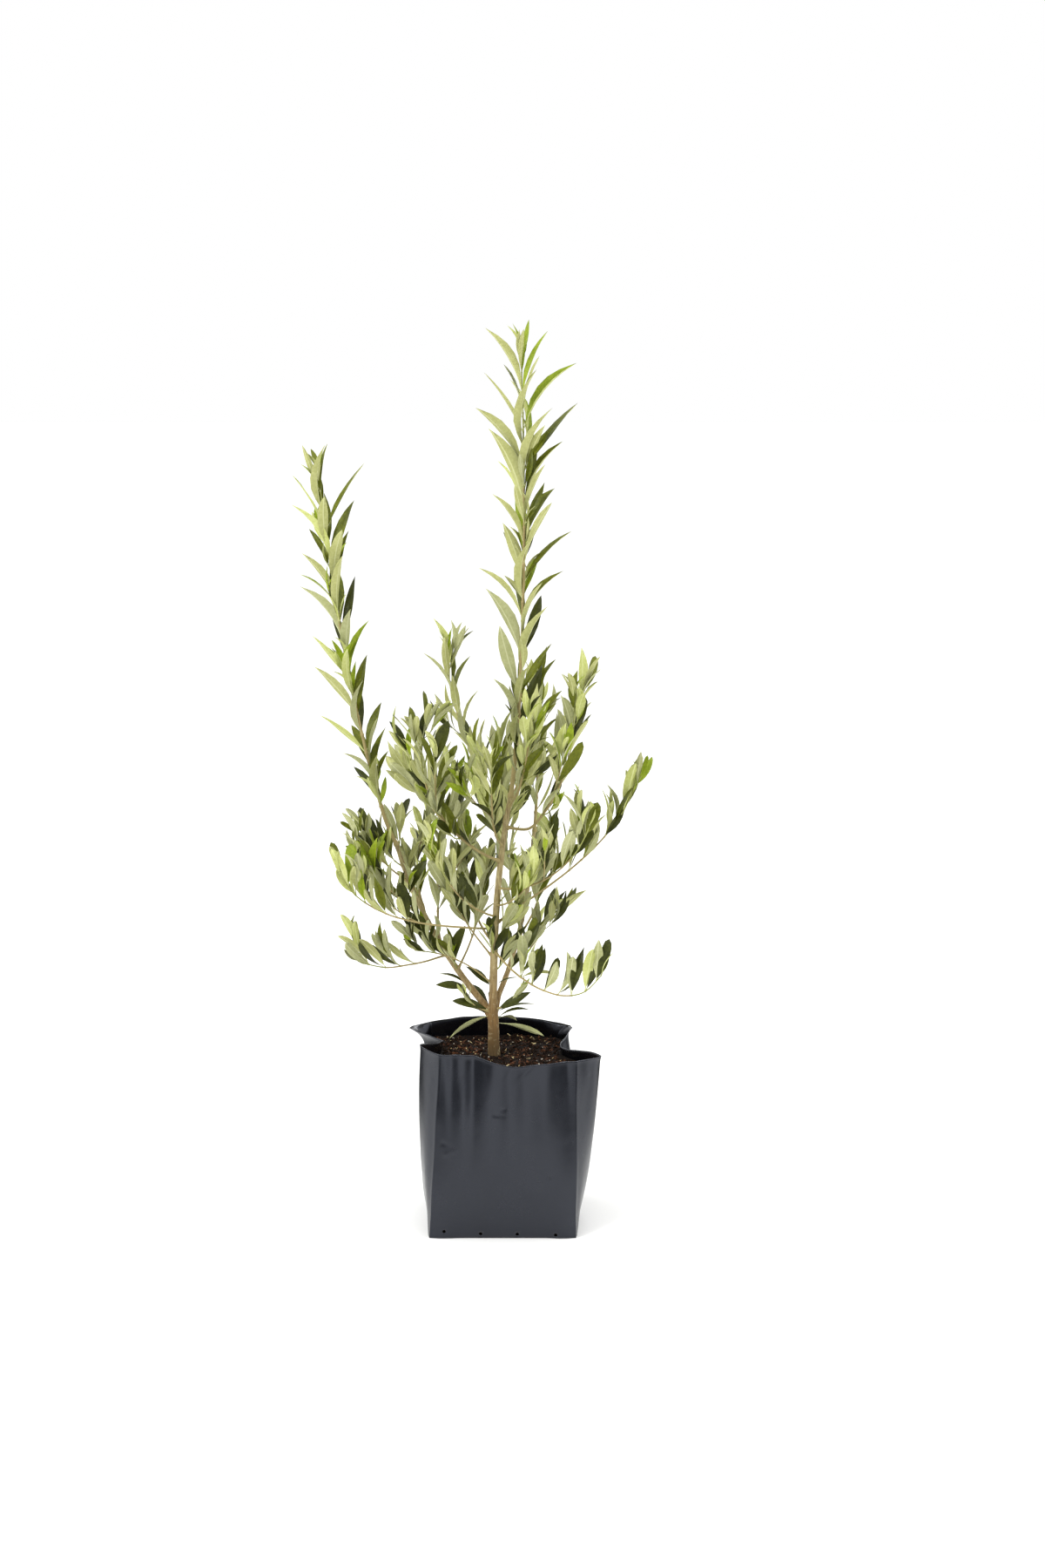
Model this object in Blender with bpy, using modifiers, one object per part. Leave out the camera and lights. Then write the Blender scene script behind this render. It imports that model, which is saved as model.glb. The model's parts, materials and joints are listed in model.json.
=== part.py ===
"""Young olive tree in a gusseted nursery bag.

Metres, +Z up, the bag's front facing -Y. The origin is the middle of the bag's flat underside.
The stem, its boughs and the bag are plain solids. Each leafy shoot is one fused solid: a
three-sided stem, its side twigs, and leaves in crossed pairs, all grown by one rule.
"""
import math
import random
from dataclasses import dataclass

import bmesh
import bpy
from mathutils import Matrix, Vector
from mathutils.bvhtree import BVHTree

MM = 0.001
GAP = 0.3 * MM          # between solids that touch in the real plant
UP = Vector((0.0, 0.0, 1.0))

# --- The bag: a square-bottomed film bag whose side gussets fold inwards at the rim ---------------
BAG_HEIGHT = 190 * MM    # about, as each fold meets the rim at its own height
FILM = 1.2 * MM          # far thicker than the real film, so that the wall is a sound solid
BELLY = 14 * MM          # how far the filling swells the sides and panels
SWELL_RISE = 2.6         # makes the swelling 1 at its fullest, a third of the way up
WALL_LEVELS = (0.0, 0.03, 0.25, 0.5, 0.75, 0.9, 1.0)
FOLD_STEPS = 2           # straight steps between two folds of the rim

# --- The filling ----------------------------------------------------------------------------------
SOIL_LEVEL = 173.5 * MM
SOIL_EASE = 1.6 * MM     # beyond the film and the gap, for the film's slope
SHARPEST_MITRE = 0.3     # keeps a sharp fold's corner from running far inwards

# --- Stems ----------------------------------------------------------------------------------------
LIMB_STEP = 16 * MM      # length of a limb's straight pieces
STEM_STEP = 24 * MM      # the same on a leafy stem
TRUNK_STEP = 5 * MM
TIP_RADIUS = 0.6 * MM
FACET_GROWTH = 1.4       # a three-sided stem is this much wider, for the section of a round one
FOOT_GAP = 0.36 * MM     # bark to the points that are tested on a shoot's foot
FOOT_SHARES = (0.0, 0.25, 0.5, 0.75)            # where they lie along each of its edges
FOOT_TRIES = 6
FLARE_HEIGHT = 9 * MM    # the swelling at the foot of the trunk
FLARE = 1.18
FORK = 0.72              # the share of the trunk at which its stubs part
COLLAR = 3 * MM          # the straight end of each stub
STUB_GIRTHS = (1.25, 1.15, 1.05, 1.0)           # over the limb's own, from the fork outwards

# --- Side twigs -----------------------------------------------------------------------------------
TWIG_ZONE = (0.30, 0.64) # the shares of the stem between which they leave it
TWIG_LENGTHS = (0.34, 0.44)                     # over the stem's own length
TWIG_GIRTH = 0.7         # over the stem's radius where it leaves
TWIG_SPREAD = 48         # degrees from the stem
TWIG_SWING = 12          # degrees of turn, to either side
TWIG_PULL = 0.25         # towards the sky, where it leaves
TWIG_RISE = 0.4          # how much of the way to upright it climbs by its tip
UPRIGHT = 80
TWIG_PAIRS = 3
TWIG_BARE = 0.25
TWIG_CLEAR = 0.6 * MM

# --- Leaves ---------------------------------------------------------------------------------------
PAIR_TURN = 90           # each pair is crossed with the last
PAIR_PLACE = 0.6         # where a pair stands in its own piece of the stem
PAIR_SHIFT = 0.45 * MM   # along the stem, between its two leaves
LEAF_LENGTHS = (0.88, 1.08)                     # the spread of their lengths
LEAF_SPLAYS = (0.85, 1.15)                      # and of their angles to the stem
LEAF_SWING = 16          # degrees round the stem, to either side
LEAF_ROLLS = (12, 38)    # degrees that a blade is turned on its own line, always the same way round
LEAF_TRIES = (0, 18, -18, 36, -36)              # more degrees round it, until the leaf fits
END_LENGTH = 0.86        # the last pair, over the others
END_SPLAY = 0.6
LEAF_SINK = 0.3          # a leaf's root lies this share of the stem's radius beyond its middle
LEAF_ROOT = 0.9 * MM     # half the length of that root, which the blade's thickness runs out from
ROOT_TILT = 0.8          # how far the root turns from the stem to the leaf's upper side
LEAF_SHOULDER = 0.42     # the widest place along the blade
LEAF_FULLNESS = 1.15     # for the area that two straight edges a side cut off
LEAF_CLEAR = 0.4 * MM    # room kept round a leaf
LEAF_FREE = 0.22         # the share next to its stem that may meet its own shoot's other parts
EDGE_ON = 0.2            # below this a leaf stands so square to its stem that it faces the tip


@dataclass(frozen=True)
class Fold:
    """One fold or crease of the bag: where it starts on the floor and where it meets the rim."""
    foot: tuple
    rim: tuple
    swell: tuple = (0.0, 0.0)


@dataclass(frozen=True)
class Limb:
    """A bare tapering limb, from where it leaves the fork."""
    name: str
    start: tuple
    length: float
    heading: float
    turn: float
    rise: float
    lift: float
    bend: float
    girth: tuple


@dataclass(frozen=True)
class Shoot:
    """A leafy shoot. Lengths are in millimetres and angles in degrees.

    springs is the height of its foot on the parent limb, or None at the limb's tip. It heads off
    at heading and rise, and by its tip has changed by turn and lift, late where bend is large.
    """
    name: str
    parent: str
    springs: float | None
    length: float
    heading: float
    turn: float
    rise: float
    lift: float
    bend: float
    pairs: int
    leaf: tuple              # length at the foot and at the tip
    breadth: float           # width over length
    splay: float             # angle between leaf and stem
    perk: float = 0.0        # pull of the leaves towards the sky
    phase: float = 45.0      # angle of the first pair round the stem
    bare: float = 0.08       # share of the stem below the first pair
    girth: float = 1.5       # radius at the foot
    twigs: int = 0


FOLDS = (
    Fold(foot=(-74, -72), rim=(-61, -80, 197)),
    Fold(foot=(-38, -72), rim=(-30, -82, 196), swell=(0.0, -0.4)),
    Fold(foot=(4, -72), rim=(10, -86, 186), swell=(0.0, -0.5)),
    Fold(foot=(42, -72), rim=(47, -83, 189), swell=(0.0, -0.4)),
    Fold(foot=(77, -72), rim=(77, -80, 190)),
    Fold(foot=(77, -40), rim=(98, -54, 188), swell=(0.55, 0.0)),
    Fold(foot=(77, -20), rim=(84, -28, 186), swell=(0.7, 0.0)),
    Fold(foot=(77, 0), rim=(60, 2, 182), swell=(1.3, 0.0)),
    Fold(foot=(77, 36), rim=(70, 44, 187), swell=(0.6, 0.0)),
    Fold(foot=(77, 72), rim=(56, 71, 188)),
    Fold(foot=(30, 72), rim=(24, 81, 193), swell=(0.0, 0.4)),
    Fold(foot=(-30, 72), rim=(-36, 81, 194), swell=(0.0, 0.4)),
    Fold(foot=(-74, 72), rim=(-76, 74, 190)),
    Fold(foot=(-74, 40), rim=(-93, 50, 187), swell=(0.6, 0.0)),
    Fold(foot=(-74, 0), rim=(-60, 2, 189), swell=(-1.1, 0.0)),
    Fold(foot=(-74, -24), rim=(-77, -30, 195), swell=(-0.5, 0.0)),
    Fold(foot=(-74, -44), rim=(-83, -54, 199), swell=(-0.35, 0.0)),
)

TRUNK = Limb("trunk", (-8.1, 0, 173.8), 50, 180, 0, 90, -2, 1, (6.9, 6.0))
LIMBS = (
    Limb("leader", (-8.7, -0.4, 236), 215, 0, 0, 89, -10, 1.5, (4.3, 2.6)),
    Limb("left_bough", (-18.5, 4, 228.5), 192, 163, 8, 47, 27, 1, (3.6, 2.3)),
    Limb("right_back_bough", (-3.5, 9, 236), 180, 46, 26, 54, 22, 0.7, (2.9, 2.0)),
)

SHOOTS = (
    Shoot("leader_shoot", "leader", None, 434, 0, 0, 83, 9, 0.6, 21, (50, 66), 0.22, 39,
          phase=22, girth=2.4),
    Shoot("left_tall_shoot", "left_bough", None, 378, 176, 8, 66, 18, 0.4, 18, (45, 60), 0.24, 36,
          phase=20, girth=2.1),
    Shoot("lower_right_shoot", "leader", 286, 146, -56, 43, -24, 90, 3.0, 8, (38, 47), 0.31, 48,
          perk=1.9, bare=0.12, girth=1.2),
    Shoot("lower_left_shoot", "left_bough", 278, 96, -136, -30, -4, 30, 4, 6, (37, 43), 0.29, 38,
          perk=1.0, bare=0.3, girth=1.1),
    Shoot("left_long_shoot", "leader", 309, 196, -140, -30, 10, 60, 3.2, 9, (34, 38), 0.34, 40,
          perk=1.2, bare=0.42, girth=1.2, twigs=1),
    Shoot("right_long_shoot", "leader", 314, 210, 40, -30, 24, 46, 2.2, 7, (38, 46), 0.30, 38,
          perk=1.1, bare=0.42, girth=1.4),
    Shoot("right_middle_shoot", "leader", 352, 142, -52, 32, 8, 60, 1.4, 8, (37, 44), 0.33, 36,
          perk=1.0, bare=0.2, girth=1.2, twigs=1),
    Shoot("left_middle_shoot", "left_bough", 309, 112, -128, -16, 38, 4, 1, 6, (38, 43), 0.36, 36,
          perk=0.6, bare=0.25, girth=1.2, twigs=1),
    Shoot("left_side_shoot", "left_bough", 352, 62, -166, -10, 40, 20, 1, 4, (38, 42), 0.28, 34,
          bare=0.25, girth=1.0),
    Shoot("left_inner_shoot", "left_bough", 318, 142, 118, -96, 62, -10, 1, 7, (38, 43), 0.33, 36,
          bare=0.2, girth=1.4, twigs=1),
    Shoot("centre_left_shoot", "leader", 380, 180, -139, -28, 26, 78, 1.4, 9, (42, 49), 0.29, 34,
          bare=0.15, girth=1.6, twigs=2),
    Shoot("small_tall_shoot", "leader", 420, 182, 120, 30, 44, 42, 1.7, 8, (42, 58), 0.22, 34,
          phase=50, bare=0.2, girth=1.4),
    Shoot("right_crown_shoot", "leader", 416, 166, -26, 36, 2, 90, 0.45, 8, (40, 48), 0.30, 30,
          bare=0.2, girth=1.6, twigs=2),
    Shoot("right_back_shoot", "right_back_bough", None, 128, 72, 10, 78, 8, 1, 8, (42, 48), 0.26, 34,
          phase=30, girth=1.8, twigs=1),
    Shoot("inner_left_shoot", "leader", 277, 92, 158, 14, 48, 16, 1, 5, (36, 40), 0.33, 36,
          perk=0.3, bare=0.3, girth=1.0),
    Shoot("crossing_twig", "leader", 250, 84, -166, 12, 40, -30, 1.2, 4, (34, 37), 0.30, 36,
          perk=0.4, bare=0.4, girth=0.9),
    Shoot("left_low_shoot", "left_bough", 262, 104, 30, 20, 62, 16, 1, 6, (36, 42), 0.30, 36,
          bare=0.25, girth=1.1),
    Shoot("right_low_twig", "right_back_bough", 262, 62, -8, 20, 44, 20, 1, 4, (42, 44), 0.26, 38,
          phase=20, bare=0.3, girth=0.9),
    Shoot("foot_left_twig", "trunk", 219, 24, -160, -14, 24, 30, 1, 3, (50, 42), 0.25, 60,
          bare=0.1, girth=1.0),
    Shoot("foot_right_twig", "trunk", 222, 24, -24, 8, 24, 30, 1, 3, (48, 42), 0.25, 56,
          bare=0.1, girth=1.0),
    Shoot("front_left_shoot", "leader", 322, 134, -112, -24, 18, 48, 1.6, 7, (36, 41), 0.34, 36,
          perk=0.5, bare=0.25, girth=1.2),
    Shoot("front_right_shoot", "leader", 334, 112, -72, 26, 14, 52, 1.5, 6, (36, 40), 0.34, 36,
          perk=0.6, bare=0.3, girth=1.1),
    Shoot("front_middle_shoot", "leader", 396, 128, -104, 20, 30, 46, 1.2, 7, (40, 46), 0.29, 34,
          bare=0.15, girth=1.3, twigs=1),
    Shoot("front_high_shoot", "leader", 436, 112, -62, -16, 44, 36, 1, 7, (40, 47), 0.26, 32,
          bare=0.15, girth=1.3),
    Shoot("back_low_shoot", "leader", 292, 168, 112, -18, 16, 50, 1.5, 8, (38, 43), 0.33, 36,
          perk=0.5, bare=0.25, girth=1.4, twigs=1),
    Shoot("back_left_shoot", "left_bough", 290, 140, 96, -14, 36, 36, 1.2, 7, (38, 44), 0.30, 34,
          bare=0.2, girth=1.4, twigs=1),
    Shoot("back_middle_shoot", "leader", 366, 150, 84, 16, 34, 44, 1.2, 8, (40, 47), 0.29, 32,
          bare=0.2, girth=1.5, twigs=1),
    Shoot("back_right_shoot", "right_back_bough", 292, 136, 64, 20, 26, 40, 1.6, 8, (38, 43), 0.33,
          34, perk=0.5, bare=0.3, girth=1.3),
    Shoot("back_high_shoot", "leader", 442, 116, 60, 20, 46, 34, 1, 6, (40, 49), 0.25, 32,
          bare=0.15, girth=1.3),
    Shoot("back_far_shoot", "right_back_bough", 330, 126, 112, -16, 24, 44, 1.5, 7, (38, 43), 0.33,
          34, perk=0.4, bare=0.25, girth=1.2),
)

# Base colours as seen on each kind of piece, with their roughness.
FILM_BLACK = ((0.035, 0.039, 0.047), 0.35)
POTTING_MIX = ((0.045, 0.026, 0.016), 0.95)
BARK = ((0.33, 0.22, 0.125), 0.8)
YOUNG_BARK = ((0.42, 0.34, 0.22), 0.7)
OLIVE_LEAF = ((0.16, 0.21, 0.055), 0.5)


def clear_scene():
    """Removes whatever the opened file holds."""
    for old in list(bpy.data.objects):
        bpy.data.objects.remove(old, do_unlink=True)


def new_collection(name):
    """A collection under the scene's own."""
    group = bpy.data.collections.new(name)
    bpy.context.scene.collection.children.link(group)
    return group


def dress(piece, finish):
    """Gives a piece its own Principled material."""
    colour, roughness = finish
    material = bpy.data.materials.new(piece.name + "_finish")
    material.use_nodes = True
    shader = material.node_tree.nodes["Principled BSDF"]
    shader.inputs["Base Color"].default_value = (*colour, 1.0)
    shader.inputs["Roughness"].default_value = roughness
    shader.inputs["Metallic"].default_value = 0.0
    piece.data.materials.clear()
    piece.data.materials.append(material)


def object_from(name, shape, group):
    """Turns a bmesh into a named object of the collection."""
    mesh = bpy.data.meshes.new(name)
    shape.to_mesh(mesh)
    shape.free()
    piece = bpy.data.objects.new(name, mesh)
    group.objects.link(piece)
    return piece


def tree_of(piece):
    """A search tree over a piece's faces."""
    shape = bmesh.new()
    shape.from_mesh(piece.data)
    found = BVHTree.FromBMesh(shape)
    shape.free()
    return found


# --- Bag and filling ------------------------------------------------------------------------------

def curve_through(before, here, after, beyond, t):
    """A point of the smooth curve from here to after."""
    return 0.5 * (2 * here + (after - before) * t
                  + (2 * before - 5 * here + 4 * after - beyond) * t ** 2
                  + (3 * here - before - 3 * after + beyond) * t ** 3)


def fold_point(fold, level):
    """Where a fold passes at a level from 0 at the floor to 1 at the rim."""
    swell = SWELL_RISE * math.sqrt(level) * (1 - level) * BELLY
    x = fold.foot[0] * MM + (fold.rim[0] - fold.foot[0]) * MM * level + fold.swell[0] * swell
    y = fold.foot[1] * MM + (fold.rim[1] - fold.foot[1]) * MM * level + fold.swell[1] * swell
    return Vector((x, y, fold.rim[2] * MM * level))


def wall_point(fold, level):
    """Where a fold passes on the wall itself, which is straight between its own levels."""
    for low, high in zip(WALL_LEVELS, WALL_LEVELS[1:]):
        if level <= high:
            break
    return fold_point(fold, low).lerp(fold_point(fold, high), (level - low) / (high - low))


def bag_ring(level_at):
    """The bag's outline through all its folds. level_at gives a fold's level."""
    knots = [wall_point(fold, level_at(fold)) for fold in FOLDS]
    count = len(knots)
    ring = []
    for k in range(count):
        before, here, after, beyond = (knots[(k + step) % count] for step in (-1, 0, 1, 2))
        for step in range(FOLD_STEPS):
            ring.append(curve_through(before, here, after, beyond, step / FOLD_STEPS))
    return ring


def inset_ring(ring, distance):
    """The ring moved inwards, mitred at its corners as the film's inner face is."""
    moved = []
    for k, here in enumerate(ring):
        before = (here - ring[k - 1]).to_2d().normalized()
        after = (ring[(k + 1) % len(ring)] - here).to_2d().normalized()
        run = (before + after).normalized()
        mitre = max(run.dot(after), SHARPEST_MITRE)
        moved.append(here + Vector((-run.y, run.x, 0.0)) * distance / mitre)
    return moved


def loft(shape, rings):
    """Faces between rings of equal length, from the bottom up. Returns the rings' vertices."""
    rows = [[shape.verts.new(point) for point in ring] for ring in rings]
    count = len(rings[0])
    for low, high in zip(rows, rows[1:]):
        for k in range(count):
            shape.faces.new((low[k], low[(k + 1) % count], high[(k + 1) % count], high[k]))
    return rows


def make_bag(group):
    """The bag: floor and wall as one open film, given its thickness inwards."""
    rings = [bag_ring(lambda fold, level=level: level) for level in WALL_LEVELS]
    shape = bmesh.new()
    rows = loft(shape, rings)
    shape.faces.new(list(reversed(rows[0])))
    bmesh.ops.triangulate(shape, faces=shape.faces[:])
    bag = object_from("planter_bag", shape, group)
    wall = bag.modifiers.new("film", "SOLIDIFY")
    wall.thickness = FILM
    wall.offset = -1.0
    wall.use_even_offset = True
    dress(bag, FILM_BLACK)
    bag.data.shade_smooth()
    return bag


def make_soil(group):
    """The filling, from the bag's floor to a level top."""
    heights = [FILM + GAP, *(level * BAG_HEIGHT for level in WALL_LEVELS[1:-2]), SOIL_LEVEL]
    rings = []
    for height in heights:
        ring = bag_ring(lambda fold, height=height: height / (fold.rim[2] * MM))
        for point in ring:
            point.z = height
        rings.append(inset_ring(ring, FILM + GAP + SOIL_EASE))
    shape = bmesh.new()
    rows = loft(shape, rings)
    shape.faces.new(list(reversed(rows[0])))
    shape.faces.new(rows[-1])
    bmesh.ops.triangulate(shape, faces=shape.faces[:])
    soil = object_from("potting_mix", shape, group)
    dress(soil, POTTING_MIX)
    return soil


# --- Stems ----------------------------------------------------------------------------------------

@dataclass
class Station:
    """A place on a stem: its point, its direction, a level sideways direction and its radius."""
    point: Vector
    along: Vector
    level: Vector
    radius: float


def direction(heading, rise):
    """The unit vector at a heading and a rise in degrees."""
    h, r = math.radians(heading), math.radians(rise)
    return Vector((math.cos(r) * math.cos(h), math.cos(r) * math.sin(h), math.sin(r)))


def grow(start, length, heading, turn, rise, lift, bend, girth, step):
    """Stations along a stem whose direction changes smoothly from foot to tip."""
    count = max(2, round(length / step))
    point = start.copy()
    stations = []
    for k in range(count + 1):
        share = k / count
        facing = heading + turn * share
        along = direction(facing, rise + lift * share ** bend)
        level = direction(facing + 90, 0)
        stations.append(Station(point.copy(), along, level, girth[0] + (girth[1] - girth[0]) * share))
        middle = (k + 0.5) / count if k else 0.0
        point += direction(heading + turn * middle, rise + lift * middle ** bend) * (length / count)
    return stations


def station_at(stations, share):
    """The station at a share of the stem's length."""
    place = min(max(share, 0.0), 1.0) * (len(stations) - 1)
    k = min(int(place), len(stations) - 2)
    t = place - k
    a, b = stations[k], stations[k + 1]
    return Station(a.point.lerp(b.point, t), a.along.lerp(b.along, t).normalized(),
                   a.level.lerp(b.level, t).normalized(), a.radius + (b.radius - a.radius) * t)


def share_at_height(stations, height):
    """The share of a limb's length at which it reaches a height, 1 at its tip."""
    if height >= stations[-1].point.z:
        return 1.0
    for k, (a, b) in enumerate(zip(stations, stations[1:])):
        if height <= b.point.z:
            return (k + (height - a.point.z) / (b.point.z - a.point.z)) / (len(stations) - 1)
    return 1.0


def stem_object(name, stations, group, three_sided):
    """A tapering stem with flat ends, three-sided or round, as a mesh."""
    line = bpy.data.curves.new(name, "CURVE")
    line.dimensions = "3D"
    line.use_fill_caps = True
    spline = line.splines.new("POLY")
    spline.points.add(len(stations) - 1)
    for point, station in zip(spline.points, stations):
        point.co = (*station.point, 1.0)
        point.radius = station.radius * (FACET_GROWTH if three_sided else 1.0)
    outline = None
    if three_sided:
        outline_curve = bpy.data.curves.new("three_sided", "CURVE")
        outline_curve.dimensions = "2D"
        side = outline_curve.splines.new("POLY")
        side.points.add(2)
        side.use_cyclic_u = True
        for k, corner in enumerate(side.points):
            angle = math.radians(120 * k)
            corner.co = (math.cos(angle), math.sin(angle), 0.0, 1.0)
        outline = bpy.data.objects.new("three_sided", outline_curve)
        group.objects.link(outline)
        line.bevel_mode = "OBJECT"
        line.bevel_object = outline
    else:
        line.bevel_depth = 1.0
        line.bevel_resolution = 1
    drawn = bpy.data.objects.new(name + "_line", line)
    group.objects.link(drawn)
    bpy.context.view_layer.update()
    mesh = bpy.data.meshes.new_from_object(drawn.evaluated_get(bpy.context.evaluated_depsgraph_get()))
    mesh.name = name
    piece = bpy.data.objects.new(name, mesh)
    piece.matrix_world = drawn.matrix_world
    group.objects.link(piece)
    bpy.data.objects.remove(drawn, do_unlink=True)
    if outline:
        bpy.data.objects.remove(outline, do_unlink=True)
    shape = bmesh.new()
    shape.from_mesh(mesh)
    bmesh.ops.remove_doubles(shape, verts=shape.verts[:], dist=0.01 * MM)
    bmesh.ops.recalc_face_normals(shape, faces=shape.faces[:])
    shape.to_mesh(mesh)
    shape.free()
    return piece


def bodies_of(shape):
    """The vertices of each of a bmesh's bodies, the largest body last."""
    left = set(shape.verts)
    bodies = []
    while left:
        body = {left.pop()}
        queue = list(body)
        while queue:
            for edge in queue.pop().link_edges:
                fresh = [vert for vert in edge.verts if vert in left]
                left.difference_update(fresh)
                body.update(fresh)
                queue += fresh
        bodies.append(body)
    return sorted(bodies, key=len)


def keep_largest_body(mesh):
    """Drops loose scraps and sealed hollows. Returns True if what is left is closed."""
    shape = bmesh.new()
    shape.from_mesh(mesh)
    for body in bodies_of(shape)[:-1]:
        bmesh.ops.delete(shape, geom=list(body), context="VERTS")
    closed = bool(shape.faces) and all(len(edge.link_faces) == 2 for edge in shape.edges)
    shape.to_mesh(mesh)
    shape.free()
    return closed


def fuse(stem, parts, group):
    """Joins the parts to the stem by one union on a collection, then removes the parts."""
    joined = new_collection("joining_" + stem.name)
    for part in parts:
        group.objects.unlink(part)
        joined.objects.link(part)
    original = stem.data
    for solver in ("EXACT", "MANIFOLD"):
        union = stem.modifiers.new("union", "BOOLEAN")
        union.operation = "UNION"
        union.operand_type = "COLLECTION"
        union.collection = joined
        union.solver = solver
        bpy.context.view_layer.update()
        evaluated = stem.evaluated_get(bpy.context.evaluated_depsgraph_get())
        mesh = bpy.data.meshes.new_from_object(evaluated)
        stem.modifiers.remove(union)
        if keep_largest_body(mesh):
            break
    stem.data = mesh
    mesh.name = stem.name
    bpy.data.meshes.remove(original)
    for part in parts:
        bpy.data.objects.remove(part, do_unlink=True)
    bpy.data.collections.remove(joined)


def make_trunk(group):
    """The short stem from the soil to its fork, with a stub for each limb."""
    stations = grow(Vector(TRUNK.start) * MM, TRUNK.length * MM, TRUNK.heading, TRUNK.turn,
                    TRUNK.rise, TRUNK.lift, TRUNK.bend, [r * MM for r in TRUNK.girth], TRUNK_STEP)
    for station in stations:
        above = station.point.z - TRUNK.start[2] * MM
        station.radius *= 1 + (FLARE - 1) * max(0.0, 1 - above / FLARE_HEIGHT)
    trunk = stem_object("trunk", stations, group, three_sided=False)
    stubs = []
    fork = station_at(stations, FORK).point
    for limb in LIMBS:
        foot = direction(limb.heading, limb.rise)
        end = Vector(limb.start) * MM - foot * GAP
        collar = end - foot * COLLAR
        route = (fork, fork.lerp(collar, 0.55), collar, end)
        stub = [Station(point, foot, foot, limb.girth[0] * MM * girth)
                for point, girth in zip(route, STUB_GIRTHS)]
        stubs.append(stem_object(limb.name + "_stub", stub, group, three_sided=False))
    fuse(trunk, stubs, group)
    trunk.data.shade_smooth()
    dress(trunk, BARK)
    return trunk, stations


def make_limb(limb, group):
    """One bare bough, from just clear of the fork to where its leafy shoot starts."""
    stations = grow(Vector(limb.start) * MM, limb.length * MM, limb.heading, limb.turn, limb.rise,
                    limb.lift, limb.bend, [r * MM for r in limb.girth], LIMB_STEP)
    piece = stem_object(limb.name, stations, group, three_sided=False)
    piece.data.shade_smooth()
    dress(piece, YOUNG_BARK)
    return piece, stations


# --- Leafy shoots ---------------------------------------------------------------------------------

@dataclass
class Branch:
    """A leafy stem or side twig, with what its leaves are dealt out by."""
    name: str
    shoot: Shoot
    stations: list
    pairs: int
    bare: float
    object: bpy.types.Object


def leaf_corners(root, along, face, stem_way, length, width, grown=0.0, start=0.0):
    """The corners of a leaf: a root edge that runs mostly along the stem, two shoulders and a tip.

    face is the way its upper side looks, and stem_way the stem's direction. grown widens the leaf
    all round, and start cuts off the part next to the stem.
    """
    across = along.cross(face).normalized()
    edge = (stem_way + face * ROOT_TILT).normalized() * LEAF_ROOT * (1 - start)
    foot = root + along * (length * start - grown)
    shoulder = root + along * length * LEAF_SHOULDER
    half = width / 2 * LEAF_FULLNESS + grown
    corners = [foot + edge, foot - edge, shoulder + across * half, shoulder - across * half,
               root + along * (length + grown)]
    if grown:
        corners = [corner + face * side for corner in corners for side in (grown, -grown)]
    return corners


def hull(corners):
    """The closed convex solid round some points."""
    shape = bmesh.new()
    for corner in corners:
        shape.verts.new(corner)
    bmesh.ops.convex_hull(shape, input=shape.verts[:])
    inner = [vert for vert in shape.verts if not vert.link_faces]
    bmesh.ops.delete(shape, geom=inner, context="VERTS")
    bmesh.ops.recalc_face_normals(shape, faces=shape.faces[:])
    return shape


class Room:
    """What is already built, each piece under its owner's name, so that nothing new touches it."""

    def __init__(self):
        self.held = []

    def add(self, owner, piece):
        """Notes a piece, with the ball that it lies in."""
        centre, reach = ball_round([vert.co for vert in piece.data.vertices])
        self.held.append((owner, tree_of(piece), centre, reach))

    def touches(self, corners, skipped):
        """True if the convex solid round the corners meets anything but the skipped owners'."""
        centre, reach = ball_round(corners)
        shape = hull(corners)
        trial = BVHTree.FromBMesh(shape)
        shape.free()
        return any(owner not in skipped and (middle - centre).length < radius + reach
                   and tree.overlap(trial) for owner, tree, middle, radius in self.held)


def ball_round(points):
    """The centre and radius of a ball that holds the points."""
    centre = sum(points, Vector()) / len(points)
    return centre, max((point - centre).length for point in points)


def foot_on(parent, share, way):
    """Where a stem heading a given way leaves its parent's bark, or its flat tip."""
    place = station_at(parent, share)
    if share >= 1.0:
        return place.point
    slope = (way - place.along * way.dot(place.along)).length
    return place.point + way * place.radius / slope


def clearance(bark, points):
    """The points' smallest distance to the bark, negative inside it."""
    distances = []
    for point in points:
        nearest, normal, _, distance = bark.find_nearest(point)
        distances.append(math.copysign(distance, normal.dot(point - nearest)))
    return min(distances)


def foot_samples(stem, start):
    """Points all over the flat foot of a stem's mesh: its corners, its edges and its middle."""
    corners = [vert.co for vert in stem.data.vertices if (vert.co - start).length < STEM_STEP / 2]
    middle = sum(corners, Vector()) / len(corners)
    samples = [middle]
    for k, corner in enumerate(corners):
        samples += [corner.lerp(corners[k - 1], share) for share in FOOT_SHARES]
        samples.append(corner.lerp(middle, 0.5))
    return samples


def stem_of(shoot, limbs, group):
    """The shoot's main stem, slid along its own direction until its foot is just clear."""
    parent, stations = limbs[shoot.parent]
    bark = tree_of(parent)
    share = 1.0 if shoot.springs is None else share_at_height(stations, shoot.springs * MM)
    way = direction(shoot.heading, shoot.rise)
    start = foot_on(stations, share, way) + way * FOOT_GAP
    route = grow(start, shoot.length * MM, shoot.heading, shoot.turn, shoot.rise, shoot.lift,
                 shoot.bend, (shoot.girth * MM, TIP_RADIUS), STEM_STEP)
    stem = stem_object(shoot.name, route, group, three_sided=True)
    for _ in range(FOOT_TRIES):
        slide = way * (FOOT_GAP - clearance(bark, foot_samples(stem, route[0].point)))
        stem.data.transform(Matrix.Translation(slide))
        for station in route:
            station.point += slide
    return Branch(shoot.name, shoot, route, shoot.pairs, shoot.bare, stem)


def ring_round(station, radius):
    """Four points round a station."""
    lifted = station.along.cross(station.level)
    return [station.point + side * radius
            for side in (station.level, lifted, -station.level, -lifted)]


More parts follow.
